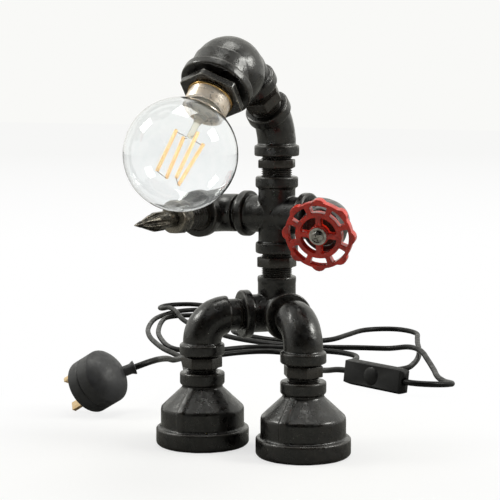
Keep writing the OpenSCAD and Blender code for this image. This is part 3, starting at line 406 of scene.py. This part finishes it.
class Bench:
    """Tools that every sub-assembly works with."""

    def __init__(self, frame: Mapping[str, Any]) -> None:
        """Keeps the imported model's nodes at hand."""
        self.nodes: Mapping[str, Piece] = frame["nodes"]

    @staticmethod
    def pick(*objects: Piece) -> None:
        """Selects these objects and nothing else, with the first one active."""
        bpy.ops.object.select_all(action="DESELECT")
        for o in objects:
            o.select_set(True)
        bpy.context.view_layer.objects.active = objects[0]

    @staticmethod
    def fresh(
        name: str, points: Sequence[Point], edges: Sequence[tuple[int, int]] = (),
        faces: Sequence[Sequence[int]] = (),
    ) -> Piece:
        """Returns a new mesh object made of points in millimetres."""
        mesh = bpy.data.meshes.new(name)
        mesh.from_pydata([Vector(p) * MM for p in points], edges, faces)
        made = bpy.data.objects.new(name, mesh)
        bpy.context.scene.collection.objects.link(made)
        return made

    def edit(self, piece: Piece, work: Callable[[], Any]) -> None:
        """Runs operators on the whole of a piece in edit mode."""
        self.pick(piece)
        bpy.ops.object.mode_set(mode="EDIT")
        bpy.ops.mesh.select_all(action="SELECT")
        work()
        bpy.ops.object.mode_set(mode="OBJECT")

    def modify(self, piece: Piece, kind: str, **settings: Any) -> None:
        """Adds a modifier, sets it up and applies it."""
        self.pick(piece)
        modifier = piece.modifiers.new(kind.lower(), kind)
        for name, value in settings.items():
            setattr(modifier, name, value)
        bpy.ops.object.modifier_apply(modifier=modifier.name)

    def bevel(self, piece: Piece, width: float, segments: int, sharper_than: float) -> None:
        """Rounds the edges that are sharper than so many degrees, over so many millimetres."""
        self.modify(
            piece, "BEVEL", width=width * MM, segments=segments, limit_method="ANGLE",
            angle_limit=math.radians(sharper_than), use_clamp_overlap=True,
        )

    def melt(self, piece: Piece, voxel: float, rounds: int) -> None:
        """Remeshes a piece at a voxel size in millimetres and smooths it so many times."""
        self.modify(piece, "REMESH", mode="VOXEL", voxel_size=voxel * MM)
        self.modify(piece, "SMOOTH", factor=0.5, iterations=rounds)

    def lathe(self, name: str, outline: Outline, place: Matrix, steps: int = 96) -> Piece:
        """Turns an outline of radius and height pairs about Z.

        Args:
            name: the piece's name.
            outline: radius and height in millimetres, in order along the surface.
            place: where the axis stands.
            steps: how many facets go round.

        Returns:
            The turned piece.
        """
        edges = [(i, i + 1) for i in range(len(outline) - 1)]
        made = self.fresh(name, [(r, 0, z) for r, z in outline], edges)

        def spin() -> None:
            bpy.ops.mesh.spin(steps=steps, angle=math.tau, center=(0, 0, 0), axis=(0, 0, 1))
            bpy.ops.mesh.select_all(action="SELECT")
            bpy.ops.mesh.remove_doubles(threshold=1e-6)
            bpy.ops.mesh.normals_make_consistent(inside=False)

        self.edit(made, spin)
        made.data.transform(place)
        return made

    def copy_of(self, node: str, name: str) -> Piece:
        """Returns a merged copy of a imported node's mesh."""
        made = bpy.data.objects.new(name, self.nodes[node].data.copy())
        made.data.materials.clear()
        bpy.context.scene.collection.objects.link(made)
        self.edit(made, lambda: bpy.ops.mesh.remove_doubles(threshold=2e-6))
        return made

    def join(self, piece: Piece, *others: Piece) -> Piece:
        """Joins other pieces into the first one."""
        self.pick(piece, *others)
        bpy.ops.object.join()
        return piece

    def dress(
        self, piece: Piece, finish: Finish, node: str, angle: float = 180.0,
        stands_for: Sequence[str] | None = None,
    ) -> Piece:
        """Shades a piece, gives it its finish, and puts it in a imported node's place.

        Args:
            piece: the finished mesh, at its place.
            finish: what its surface is.
            node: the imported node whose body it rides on.
            angle: edges sharper than this stay crisp, in degrees.
            stands_for: the nodes that it replaces, if not just that one.

        Returns:
            The piece.
        """
        self.pick(piece)
        if angle < 180:
            bpy.ops.object.shade_smooth_by_angle(angle=math.radians(angle))
        else:
            bpy.ops.object.shade_smooth()
        piece.data.materials.clear()
        piece.data.materials.append(finish.build())
        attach(piece, self.nodes[node]["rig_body"])
        names = [node] if stands_for is None else list(stands_for)
        if names:
            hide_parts(*names)
        return piece

    def paint(self, finish: Finish, *nodes: str) -> None:
        """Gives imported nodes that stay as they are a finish."""
        for name in nodes:
            node = self.nodes[name]
            node.data.materials.clear()
            node.data.materials.append(finish.build())


# ------------------------------------------------------------------ iron fittings


@dataclass(frozen=True)
class Thread:
    """A pipe thread along Z, from one height to another, with a hole through it."""

    low: float
    high: float
    crest: float = 13.2
    depth: float = 1.1
    bore: float = 9.6
    pitch: float = 1.814
    steps: int = 56

    def cut(self, bench: Bench, name: str, place: Matrix) -> Piece:
        """Returns the threaded sleeve as a closed solid whose flanks climb one pitch a turn."""
        root = self.crest - self.depth
        shape = ((0.0, root), (0.38, self.crest), (0.5, self.crest), (0.88, root))
        length = self.high - self.low
        rows = 4 * (math.ceil(length / self.pitch) + 1)
        points: list[Point] = []
        faces: list[tuple[int, ...]] = []
        numbers: dict[tuple[int, int | str], int] = {}
        for i in range(self.steps):
            a = math.tau * i / self.steps
            for j in range(-4, rows + 1):
                part, radius = shape[j % 4]
                z = (j // 4 + part + i / self.steps) * self.pitch
                if z <= 0 or z >= length:
                    z, radius = min(max(z, 0), length), root
                numbers[i, j] = len(points)
                points.append((radius * math.cos(a), radius * math.sin(a), z + self.low))
            for end, z in (("low", self.low), ("high", self.high)):
                numbers[i, end] = len(points)
                points.append((self.bore * math.cos(a), self.bore * math.sin(a), z))
        for i in range(self.steps):
            k, up = (i + 1, 0) if i + 1 < self.steps else (0, 4)
            for j in range(-4, rows):
                if (k, j + up + 1) in numbers:
                    below, above = numbers[k, j + up], numbers[k, j + up + 1]
                    faces.append((numbers[i, j], below, above, numbers[i, j + 1]))
            low, high = numbers[i, "low"], numbers[i, "high"]
            next_low, next_high = numbers[k, "low"], numbers[k, "high"]
            faces.append((low, next_low, numbers[k, -4], numbers[i, -4]))
            faces.append((numbers[i, rows], numbers[k, rows], next_high, high))
            faces.append((high, next_high, next_low, low))
        made = bench.fresh(name, points, faces=faces)

        def close() -> None:
            bpy.ops.mesh.remove_doubles(threshold=1e-6)
            bpy.ops.mesh.dissolve_degenerate(threshold=1e-7)
            bpy.ops.mesh.normals_make_consistent(inside=False)

        bench.edit(made, close)
        made.data.transform(place)
        return made


@dataclass
class Casting:
    """A sand-cast fitting: its sharp solid is rounded over and given the unevenness of its mould."""

    node: str
    voxel: float = 0.7
    soften: int = 3
    shank: Matrix | None = None
    thread: Thread | None = None
    swell: float = 0.25
    swell_size: float = 6.0
    chamfer: float = 0.0
    finish: Finish = IRON

    def build(self, bench: Bench) -> Piece:
        """Returns the dressed casting, with its own thread beside it if it has one that shows."""
        piece = bench.copy_of(self.node, f"{self.node}_casting")
        if self.chamfer:
            bench.bevel(piece, self.chamfer, 2, 25)
        if self.thread is not None and self.shank is not None:
            self._thin_thread(piece)
        bench.melt(piece, self.voxel, self.soften)
        clouds = bpy.data.textures.get("mould") or bpy.data.textures.new("mould", "CLOUDS")
        clouds.noise_scale = self.swell_size * MM
        bench.modify(
            piece, "DISPLACE", texture=clouds, texture_coords="LOCAL", strength=self.swell * MM, mid_level=0.5
        )
        bench.dress(piece, self.finish, self.node)
        if self.thread is not None and self.shank is not None:
            sleeve = self.thread.cut(bench, f"{self.node}_thread", self.shank)
            bench.dress(sleeve, CUT_IRON, self.node, 40, stands_for=())
        return piece

    def _thin_thread(self, piece: Piece) -> None:
        """Takes the smooth threaded end down inside the root of the cut thread."""
        thread, back = self.thread, self.shank.inverted()
        for v in piece.data.vertices:
            p = back @ v.co
            r = math.hypot(p.x, p.y)
            if p.z > thread.low * MM - 1e-5 and (thread.crest - 0.35) * MM < r < (thread.crest + 0.15) * MM:
                p.x, p.y = (q * (thread.crest - thread.depth - 0.1) * MM / r for q in (p.x, p.y))
                v.co = self.shank @ p


@dataclass
class HexNipple:
    """A threaded nipple with a hexagon in the middle, where a wrench takes it."""

    node: str
    place: Matrix
    length: float
    hex_low: float
    hex_high: float
    turn: float
    flats: float = 30.0
    bore: float = 9.6
    corner: float = 0.8

    def build(self, bench: Bench) -> Piece:
        """Returns the dressed nipple."""
        ends = (("low", 0, self.hex_low + 1), ("high", self.hex_high - 1, self.length))
        threads = [
            Thread(low, high, bore=self.bore).cut(bench, f"{self.node}_{end}", self.place)
            for end, low, high in ends
        ]
        piece = bench.join(self._hexagon(bench), *threads)
        piece.name = f"{self.node}_cut"
        return bench.dress(piece, CUT_IRON, self.node, 35)

    def _hexagon(self, bench: Bench) -> Piece:
        """Returns the hexagon, chamfered by turning and with rounded corners, with its hole."""
        thick = self.hex_high - self.hex_low
        middle = (0, 0, (self.hex_low + thick / 2) * MM)
        bpy.ops.object.select_all(action="DESELECT")
        bpy.ops.mesh.primitive_cylinder_add(
            vertices=6, radius=self.flats / 2 / math.cos(math.pi / 6) * MM, depth=thick * MM, location=middle,
            rotation=(0, 0, math.radians(self.turn)),
        )
        made = bpy.context.object
        bpy.ops.object.transform_apply(location=True, rotation=True, scale=True)
        bench.edit(made, lambda: bpy.ops.mesh.bevel(offset=self.corner * MM, segments=3, affect="EDGES"))
        bpy.ops.object.select_all(action="DESELECT")
        bpy.ops.mesh.primitive_cylinder_add(
            vertices=48, radius=self.bore * MM, depth=2 * thick * MM, location=middle
        )
        drill = bpy.context.object
        bench.modify(made, "BOOLEAN", operation="DIFFERENCE", object=drill, solver="EXACT")
        bpy.data.objects.remove(drill)
        made.data.transform(self.place)
        return made


@dataclass
class IronWork:
    """Feet, legs, body, neck, head and arms."""

    sockets: float = 14.0
    leg_gap: float = 14.9
    waist_gap: float = 19.9
    neck_gap: float = 17.4
    head_gap: float = 23.3
    neck_face: float = 25.0
    face: float = 33.0
    shank_end: float = 32.0
    thread_end: float = 43.0

    def build(self, bench: Bench) -> None:
        """Makes every fitting and nipple."""
        legs = {"left": BONES.leg(BONES.left_leg_angle), "right": BONES.leg(BONES.right_leg_angle)}
        shown = Thread(self.shank_end - 0.2, self.thread_end, bore=10.9)
        for side, leg in legs.items():
            Casting(f"{side}_foot", voxel=0.8).build(bench)
            shank = leg @ shift(0, 0, BONES.elbow_z) @ turned("Y", 90)
            Casting(f"{side}_leg_elbow", shank=shank, thread=shown).build(bench)
        for node in (
            "crotch_fitting", "body_cross", "neck_elbow", "head_elbow", "left_arm_elbow", "right_arm_elbow",
        ):
            Casting(node).build(bench)
        # The bush's chamfered corners carry the painted highlight of its finish.
        Casting("head_bush", voxel=0.5, soften=1, swell=0.1, chamfer=1.0, finish=BUSH_IRON).build(bench)
        for node, line, base, gap, start, thick, turn in (
            ("left_leg_nipple", legs["left"], BONES.foot_h, self.leg_gap, 3.9, 9.4, 12),
            ("right_leg_nipple", legs["right"], BONES.foot_h, self.leg_gap, 3.9, 9.4, 20),
            ("waist_nipple", BONES.column(), BONES.crotch_top, self.waist_gap, 7.8, 8.7, 8),
            ("neck_nipple", BONES.column(), BONES.cross_z + self.face, self.neck_gap, 7.3, 7.2, 22),
            ("head_nipple", BONES.head_line(), self.neck_face, self.head_gap, 6, 10, 5),
        ):
            place = line @ shift(0, 0, base - self.sockets)
            low = self.sockets + start
            HexNipple(node, place, gap + 2 * self.sockets, low, low + thick, turn).build(bench)
        bench.paint(CUT_IRON, "left_wrist_bush", "spindle_bush")


# ------------------------------------------------------------------ hands


@dataclass
class LeftHand:
    """The threaded stud, its hexagon collar and the countersink bit."""

    stud: Thread = Thread(19, 57, crest=11.6, depth=1.9, bore=4, pitch=4.2)

    def build(self, bench: Bench) -> None:
        """Makes the left hand."""
        stud = self.stud.cut(bench, "left_wrist_stud_cut", BONES.left_forearm())
        bench.dress(stud, CUT_IRON, "left_wrist_stud", 40)
        collar = bench.copy_of("left_hand_collar", "left_hand_collar_soft")
        bench.bevel(collar, 0.5, 2, 25)
        bench.dress(collar, TOOL, "left_hand_collar", 40)
        bit = bench.copy_of("left_hand_bit", "left_hand_bit_ground")
        bench.melt(bit, 0.32, 2)
        bench.dress(bit, TOOL, "left_hand_bit")


@dataclass
class RightHand:
    """The red handwheel on its spindle."""

    def build(self, bench: Bench) -> None:
        """Makes the right hand."""
        wheel = bench.copy_of("handwheel", "handwheel_casting")
        bench.melt(wheel, 0.42, 12)
        bench.dress(wheel, ENAMEL, "handwheel")
        bench.paint(STEEL, "wheel_washer", "wheel_screw", "wheel_spindle")


# ------------------------------------------------------------------ lampholder and bulb


@dataclass
class Lamp:
    """The brass lampholder and the bulb with its light-emitting sticks."""

    bush_face: float = 55.3
    holder_front: float = 69.8
    holder_len: float = 45.5
    holder_r: float = 18.0
    holder_wall: float = 0.8
    entry_r: float = 5.05
    cap_front: float = 64.3
    globe_s: float = 117.2
    globe_r: float = 45.0
    neck_r: float = 14.2
    glass: float = 0.9
    stem_short: float = 18.0
    phosphor: float = 0.7

    def build(self, bench: Bench) -> None:
        """Makes the holder, the bulb and what is inside them."""
        self._shell(bench)
        self._globe(bench)
        self._stem(bench)
        self._sticks(bench)
        bench.paint(STEEL, "bulb_support_wires", "bulb_cap_contact", "lampholder_entry")
        bench.paint(BRASS, "lampholder_screw_shell", "lampholder_contact")
        bench.paint(CHAMPAGNE, "bulb_cap", "lampholder_ring")
        bench.paint(CERAMIC, "lampholder_insulator")
        bench.paint(VITRITE, "bulb_cap_insulator")
        for node in ("bulb_cap", "lampholder_ring"):
            bench.pick(bench.nodes[node])
            bpy.ops.object.shade_smooth_by_angle(angle=math.radians(40))

    def _shell(self, bench: Bench) -> None:
        """The holder's thin pale shell, and the brass lip rolled round it at the bush."""
        back, front, r = self.holder_front - self.holder_len, self.holder_front, self.holder_r
        inner, hole, rim = r - self.holder_wall, self.entry_r, self.bush_face + 0.3
        outline = [
            (hole, back), (r - 1.2, back), (r - 0.35, back + 0.35), (r, back + 1.2), (r, front - 0.5),
            (r - 0.2, front - 0.1), (r - 0.5, front), (inner, front - 0.4), (inner, back + 1.2),
            (hole, back + 1.2), (hole, back),
        ]
        piece = bench.lathe("lampholder_shell_spun", outline, BONES.lamp_line())
        bench.dress(piece, CHAMPAGNE, "lampholder_shell", 50)
        lip = [
            (r - 0.3, rim), (r + 0.6, rim), (r + 1.1, rim + 0.5), (r + 1.2, rim + 1.1), (r + 0.9, rim + 1.7),
            (r + 0.3, rim + 2.0), (r - 0.3, rim + 2.1), (r - 0.3, rim),
        ]
        rolled = bench.lathe("lampholder_rolled_lip", lip, BONES.lamp_line())
        bench.dress(rolled, BRASS, "lampholder_shell", 50, stands_for=())

    def _globe(self, bench: Bench) -> None:
        """The blown globe as one thin wall, from the rim in the cap round to its pole."""
        neck = self.neck_r
        meet = self.globe_s - math.sqrt(self.globe_r**2 - neck**2)
        outline = [
            (neck, self.cap_front + 0.05), (neck, meet - 4.5), (neck + 0.35, meet - 2.8),
            (neck + 1.4, meet - 0.7), (neck + 3.1, meet + 1.1),
        ]
        first, count = math.asin(neck / self.globe_r) + 0.13, 44
        for k in range(count + 1):
            a = first + (math.pi - first) * k / count
            outline.append((max(self.globe_r * math.sin(a), 0.0), self.globe_s - self.globe_r * math.cos(a)))
        piece = bench.lathe("bulb_globe_blown", outline, Matrix.Identity(4), 112)
        bench.modify(piece, "SOLIDIFY", thickness=self.glass * MM, offset=-1)
        bench.edit(piece, lambda: bpy.ops.mesh.normals_make_consistent(inside=False))
        piece.data.transform(BONES.lamp_line())
        bench.dress(piece, GLASS, "bulb_globe")

    def _stem(self, bench: Bench) -> None:
        """The flared glass mount that carries the filaments."""
        base = self.cap_front + 1
        top = self.globe_s - self.stem_short
        outline = [
            (0, base), (11.5, base), (11.1, base + 1.2), (8.2, base + 5), (5.6, base + 9), (4.4, base + 13),
            (3.4, base + 17), (2.6, base + 20), (2.6, top - 2), (2.2, top - 0.6), (1.2, top - 0.1), (0, top),
        ]
        piece = bench.lathe("bulb_stem_drawn", outline, BONES.lamp_line(), 48)
        bench.dress(piece, STEM_GLASS, "bulb_stem")

    def _sticks(self, bench: Bench) -> None:
        """The light-emitting sticks, with the phosphor moulded thick round them."""
        piece = bench.copy_of("bulb_filaments", "bulb_filaments_moulded")
        bench.modify(piece, "DISPLACE", strength=self.phosphor * MM, mid_level=0.0)
        bench.dress(piece, PHOSPHOR, "bulb_filaments", 40)


# ------------------------------------------------------------------ leads, switch and plug


def smooth_route(points: Sequence[Point], steps: int, lowest: float) -> list[Vector]:
    """Runs a smooth curve through given points.

    Args:
        points: where the lead lies, in millimetres.
        steps: pieces between two of the points.
        lowest: the least height of the line above the table, in millimetres.

    Returns:
        Points on the curve, in metres.
    """
    p = [Vector(q) for q in points]
    p = [2 * p[0] - p[1], *p, 2 * p[-1] - p[-2]]
    made = []
    for a, b, c, d in zip(p, p[1:], p[2:], p[3:]):
        for k in range(steps):
            t = k / steps
            bend, twist = 2 * a - 5 * b + 4 * c - d, 3 * b - a - 3 * c + d
            made.append(0.5 * (2 * b + (c - a) * t + bend * t * t + twist * t**3))
    made.append(p[-2])
    for q in made:
        q.z = max(q.z, lowest)
    return [q * MM for q in made]


@dataclass
class Leads:
    """The two lengths of mains lead, laid on the table."""

    thick: float = 6.0
    gland_h: float = 8.5
    gland_in: float = 31.2
    gland_mouth: float = 59.8
    gland_out: float = 61.8
    steps: int = 6
    lamp_to_switch: Sequence[Point] = field(
        default_factory=lambda: [
            (-93, 98, 8), (-107, 118, 5), (-125, 144, 3), (-160, 194, 3), (-210, 266, 3),
            (-252, 327, 3), (-281, 367, 3), (-305, 387, 3), (-332, 408, 3), (-363, 438, 3),
            (-393, 471, 3), (-424, 513, 3), (-452, 562, 3), (-470, 603, 3), (-477, 640, 3),
            (-475.5, 668.3, 3), (-462.4, 687.4, 3), (-443.5, 694.9, 3), (-421.7, 688.6, 4),
            (-401, 669.8, 8.5), (-383, 649, 9.6), (-366, 627, 6.5), (-350, 598, 3), (-325, 553, 3),
            (-283, 531, 3), (-246, 525, 3), (-215, 533, 3), (-196, 560, 3), (-195, 600, 3),
            (-193.8, 641, 3), (-175.6, 663.5, 3), (-152.7, 667.3, 3), (-127.8, 650.9, 3),
            (-111.1, 617.3, 3), (-98, 589, 3), (-82, 557, 3), (-67, 525, 3), (-54, 492, 3),
            (-45.1, 462.3, 3), (-40.4, 433.3, 3), (-51.9, 410.3, 3), (-69.8, 401.7, 3),
            (-89.3, 407.3, 3), (-104.8, 428.8, 3), (-112.4, 458.8, 3), (-123.9, 476.6, 3),
            (-147.4, 486, 3), (-180.1, 483.9, 3), (-220, 480, 3), (-250, 468, 3), (-266, 446, 3),
            (-277, 423, 3), (-296, 411, 3), (-319, 413, 3), (-341, 429, 3), (-369, 460, 3),
            (-398, 497, 3), (-424, 538, 3), (-446.5, 578.6, 3), (-459.3, 610.5, 3), (-451, 634.6, 3),
            (-430.8, 647.3, 3), (-400.4, 652.8, 3), (-376.9, 663.2, 3), (-367.5, 683.2, 3),
            (-375.5, 706.7, 3), (-401, 721.3, 3), (-431.9, 721.7, 3), (-459.9, 722.9, 3),
            (-491.1, 728.1, 3), (-510.5, 718.5, 3), (-519.7, 700.9, 3), (-515.9, 680, 3),
            (-499, 660.2, 5.5), (-479.2, 647.3, 9.6), (-452, 621, 9.6), (-431, 600, 5.5),
            (-405, 580, 3), (-365, 553, 3), (-312, 519, 3), (-267, 504, 3), (-223, 499, 3),
            (-179, 508, 3), (-139, 526, 3), (-108, 532, 4), (-80, 525, 9), (-56, 505, 9.6),
            (-36, 478, 6), (-14, 444, 3), (8, 405, 3), (26.5, 380, 4), (37.5, 366, 6),
            (46.4, 352.8, 8.2), (49.2, 341.9, 9.8), (47.3, 329.4, 11.3), (38.9, 318.2, 12.5),
            (26.1, 312.8, 13), (15, 313.4, 13.1), (5.7, 316.7, 13.1),
        ]
    )
    switch_to_plug: Sequence[Point] = field(
        default_factory=lambda: [
            (-61.2, 340.4, 13.1), (-64, 341.4, 13.1), (-78, 346.4, 12), (-95, 357, 8), (-112, 375, 4),
            (-130, 397, 3), (-154, 422, 3), (-180, 443, 3), (-203, 454, 3), (-226, 449, 3),
            (-245, 429, 3), (-257, 402, 3.5), (-262, 372, 8), (-256, 345, 11.5), (-242, 301, 16),
            (-220, 254, 24), (-197, 210, 34), (-178, 172, 41.5), (-167.9, 145.6, 45.5),
            (-166.1, 138, 46.1), (-166.6, 130.2, 45.8), (-169.3, 122.9, 44.4), (-173.9, 116.9, 42.2),
            (-180.8, 110.4, 39),
        ]
    )

    def build(self, bench: Bench) -> None:
        """Lays both leads."""
        angle = math.radians(BONES.gland_angle)
        way = Vector((math.cos(angle), math.sin(angle), 0))
        foot = BONES.left_foot() / MM
        reaches = (self.gland_in, self.gland_mouth, self.gland_out)
        inside, mouth, outside = (foot + way * reach + Vector((0, 0, self.gland_h)) for reach in reaches)
        first = self._lay(bench, "lead_lamp_to_switch", [tuple(inside), tuple(outside), *self.lamp_to_switch])
        second = self._lay(bench, "lead_switch_to_plug", self.switch_to_plug)
        self.exits = (tuple(mouth * MM), tuple(Vector(self.switch_to_plug[0]) * MM))
        self.cords = (first, second)

    def _lay(self, bench: Bench, node: str, points: Sequence[Point]) -> Piece:
        """Returns one lead as a round curve, dressed."""
        line = smooth_route(points, self.steps, self.thick / 2)
        curve = bpy.data.curves.new(f"{node}_sheath", "CURVE")
        curve.dimensions = "3D"
        curve.bevel_depth = self.thick / 2 * MM
        curve.bevel_resolution = 5
        curve.use_fill_caps = True
        spline = curve.splines.new("POLY")
        spline.points.add(len(line) - 1)
        for target, q in zip(spline.points, line):
            target.co = (*q, 1)
        spline.use_smooth = True
        made = bpy.data.objects.new(f"{node}_sheath", curve)
        bpy.context.scene.collection.objects.link(made)
        curve.materials.append(PVC.build())
        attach(made, bench.nodes[node]["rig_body"])
        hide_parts(node)
        made["length_m"] = sum((b - a).length for a, b in zip(line, line[1:]))
        LOG.info("%s: %.3f m long", made.name, made["length_m"])
        return made


@dataclass
class InlineSwitch:
    """The rocker switch in the lead."""

    def build(self, bench: Bench) -> list[Piece]:
        """Returns the switch's pieces."""
        made = []
        for node, width in (("switch_back", 0.5), ("switch_front", 0.5), ("switch_rocker", 0.35)):
            piece = bench.copy_of(node, f"{node}_moulded")
            bench.bevel(piece, width, 2, 28)
            made.append(bench.dress(piece, ABS, node, 40))
        bench.paint(STEEL, "switch_screws")
        bench.paint(BRASS, "switch_terminals")
        return made + [bench.nodes["switch_screws"], bench.nodes["switch_terminals"]]


@dataclass
class Plug:
    """The three-pin plug and the sleeve on its lead."""

    def build(self, bench: Bench) -> list[Piece]:
        """Returns the plug's pieces."""
        made = []
        for node, edge in (("plug_base", 0.9), ("plug_cover", 0.9), ("plug_sleeve", 0.3)):
            piece = bench.copy_of(node, f"{node}_moulded")
            bench.bevel(piece, edge, 3, 50)
            bench.melt(piece, 0.5, 2)
            made.append(bench.dress(piece, NYLON, node))
        for node in ("plug_earth_pin", "plug_line_pins"):
            piece = bench.copy_of(node, f"{node}_drawn")
            bench.bevel(piece, 0.6, 3, 40)
            made.append(bench.dress(piece, PIN_BRASS, node, 40))
        bench.paint(CERAMIC, "plug_fuse")
        bench.paint(STEEL, "plug_cover_screw")
        return made + [bench.nodes["plug_fuse"], bench.nodes["plug_cover_screw"]]


# ------------------------------------------------------------------ studio


@dataclass
class Studio:
    """The camera, the pale floor and the soft light."""

    azimuth: float = 30.202
    elevation: float = 6.2525
    roll: float = -0.12
    eye: Point = (681.25, -1137.08, 318.47)
    lens: float = 117.9
    sensor: float = 36.0
    clip_m: float = 40.0
    floor_size: float = 14.0
    paper: str = "#f4f4f3"
    paper_indirect: str = "#9a9a96"
    shadow_m: tuple[float, float] = (0.1, 0.36)
    shadow_share: tuple[float, float] = (0.66, 1.0)
    distance: str = "#f7f7f6"
    distance_m: tuple[float, float] = (1.8, 5.0)
    backdrop: str = "#f9f9f7"
    sky: str = "#fffff8"
    lamp_colour: tuple[float, float, float] = (1.0, 1.0, 0.95)

    def build(self) -> None:
        """Sets up everything that isn't the lamp."""
        scene = bpy.context.scene
        scene.view_settings.view_transform = "Standard"
        self._camera(scene)
        self._floor()
        self._world(scene)
        self._softbox("key_softbox", (-1.5, -0.5, 1.5), (0, 0.05, 0.15), 0.6, 15.0)
        self._softbox("side_softbox", (1.5, 0.6, 1.2), (0, 0.05, 0.15), 0.6, 20.0)
        self._softbox("top_softbox", (0.0, 0.3, 2.2), (0, 0.1, 0), 0.9, 15.0)

    def _camera(self, scene: bpy.types.Scene) -> None:
        """Puts the camera where the lamp is seen from the front right, a little above its middle."""
        camera = bpy.data.objects.new("studio_camera", bpy.data.cameras.new("studio_camera"))
        scene.collection.objects.link(camera)
        camera.data.lens, camera.data.sensor_width = self.lens, self.sensor
        camera.data.clip_end = self.clip_m
        a, e = math.radians(self.azimuth), math.radians(self.elevation)
        back = Vector((math.sin(a) * math.cos(e), -math.cos(a) * math.cos(e), math.sin(e)))
        camera.rotation_mode = "QUATERNION"
        roll = Matrix.Rotation(math.radians(self.roll), 4, "Z").to_quaternion()
        camera.rotation_quaternion = (-back).to_track_quat("-Z", "Y") @ roll
        camera.location = Vector(self.eye) * MM
        scene.camera = camera

    def _floor(self) -> None:
        """A wide white table top that keeps a soft shadow."""
        bpy.ops.object.select_all(action="DESELECT")
        bpy.ops.mesh.primitive_plane_add(size=self.floor_size)
        floor = bpy.context.object
        floor.name = "studio_floor"
        made = bpy.data.materials.new("paper_white")
        made.use_nodes = True
        tree = made.node_tree
        tree.nodes.clear()
        path = add_node(tree, "ShaderNodeLightPath")
        direct = self._seen_directly(tree, path)
        place = add_node(tree, "ShaderNodeTexCoord").outputs["Object"]
        length = add_node(tree, "ShaderNodeVectorMath", {"operation": "LENGTH"}, links={0: place})
        reach = length.outputs["Value"]
        paper = self._blend(tree, direct, linear(self.paper_indirect), linear(self.paper))
        diffuse = add_node(tree, "ShaderNodeBsdfDiffuse", values={"Roughness": 1.0}, links={"Color": paper})
        far_from, far_to = self.distance_m
        far = add_node(
            tree, "ShaderNodeMapRange", values={"From Min": far_from, "From Max": far_to},
            links={"Value": reach},
        )
        glow = self._blend(tree, far.outputs[0], linear("#ffffff"), linear(self.distance))
        white = add_node(tree, "ShaderNodeEmission", links={"Color": glow})
        near, clear = self.shadow_m
        least, most = self.shadow_share
        plain = add_node(
            tree, "ShaderNodeMapRange", {"interpolation_type": "SMOOTHSTEP"}, links={"Value": reach},
            values={"From Min": near, "From Max": clear, "To Min": least, "To Max": most},
        )
        share = add_node(
            tree, "ShaderNodeMath", {"operation": "MULTIPLY"}, links={0: direct, 1: plain.outputs[0]}
        )
        mixed = add_node(
            tree, "ShaderNodeMixShader",
            links={0: share.outputs[0], 1: diffuse.outputs[0], 2: white.outputs[0]},
        )
        add_node(tree, "ShaderNodeOutputMaterial", links={"Surface": mixed.outputs[0]})
        floor.data.materials.append(made)

    @staticmethod
    def _seen_directly(tree: Tree, path: bpy.types.Node) -> Socket:
        """Returns one where the camera looks straight or through glass, and otherwise nothing."""
        return add_node(
            tree, "ShaderNodeMath", {"operation": "MAXIMUM"},
            links={0: path.outputs["Is Camera Ray"], 1: path.outputs["Is Transmission Ray"]},
        ).outputs[0]

    @staticmethod
    def _blend(tree: Tree, share: Socket, low: Any, high: Any) -> Socket:
        """Returns the blend of two fixed colours."""
        mix = add_node(tree, "ShaderNodeMix", {"data_type": "RGBA"}, {6: low, 7: high}, {0: share})
        return mix.outputs[2]

    def _world(self, scene: bpy.types.Scene) -> None:
        """White all round as seen, with a darker side behind the camera in what the iron mirrors."""
        world = bpy.data.worlds.new("studio_white")
        scene.world = world
        world.use_nodes = True
        tree = world.node_tree
        tree.nodes.clear()
        way = add_node(tree, "ShaderNodeTexCoord").outputs["Generated"]
        a = math.radians(self.azimuth)
        facing = add_node(
            tree, "ShaderNodeVectorMath", {"operation": "DOT_PRODUCT"},
            values={1: (math.sin(a), -math.cos(a), 0.1)}, links={0: way},
        )
        shade = add_node(
            tree, "ShaderNodeMapRange", links={"Value": facing.outputs["Value"]},
            values={"From Min": -0.1, "From Max": 0.7, "To Min": 0.95, "To Max": 0.02},
        )
        lit = add_node(
            tree, "ShaderNodeBackground", values={"Color": linear(self.sky)},
            links={"Strength": shade.outputs[0]},
        )
        seen = add_node(
            tree, "ShaderNodeBackground", values={"Color": linear(self.backdrop), "Strength": 1.0}
        )
        direct = self._seen_directly(tree, add_node(tree, "ShaderNodeLightPath"))
        mixed = add_node(
            tree, "ShaderNodeMixShader", links={0: direct, 1: lit.outputs[0], 2: seen.outputs[0]}
        )
        add_node(tree, "ShaderNodeOutputWorld", links={"Surface": mixed.outputs[0]})

    def _softbox(self, name: str, at: Point, towards: Point, size: float, power: float) -> None:
        """Hangs a square area lamp that looks at a point, both in metres."""
        light = bpy.data.lights.new(name, "AREA")
        light.shape, light.size, light.energy, light.color = "SQUARE", size, power, self.lamp_colour
        lamp = bpy.data.objects.new(name, light)
        bpy.context.scene.collection.objects.link(lamp)
        lamp.location = at
        lamp.rotation_mode = "QUATERNION"
        lamp.rotation_quaternion = (Vector(towards) - Vector(at)).to_track_quat("-Z", "Y")


# ------------------------------------------------------------------ the whole scene


def main() -> None:
    """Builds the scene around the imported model."""
    logging.basicConfig(level=logging.INFO, format="%(name)s: %(message)s")
    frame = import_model()
    bench = Bench(frame)
    Studio().build()
    leads = Leads()
    leads.build(bench)
    IronWork().build(bench)
    LeftHand().build(bench)
    RightHand().build(bench)
    Lamp().build(bench)
    switch = InlineSwitch().build(bench)
    plug = Plug().build(bench)
    bench.paint(PVC, "inner_lead_body", "inner_lead_head", "lead_gland")


if __name__ == "__main__":
    main()
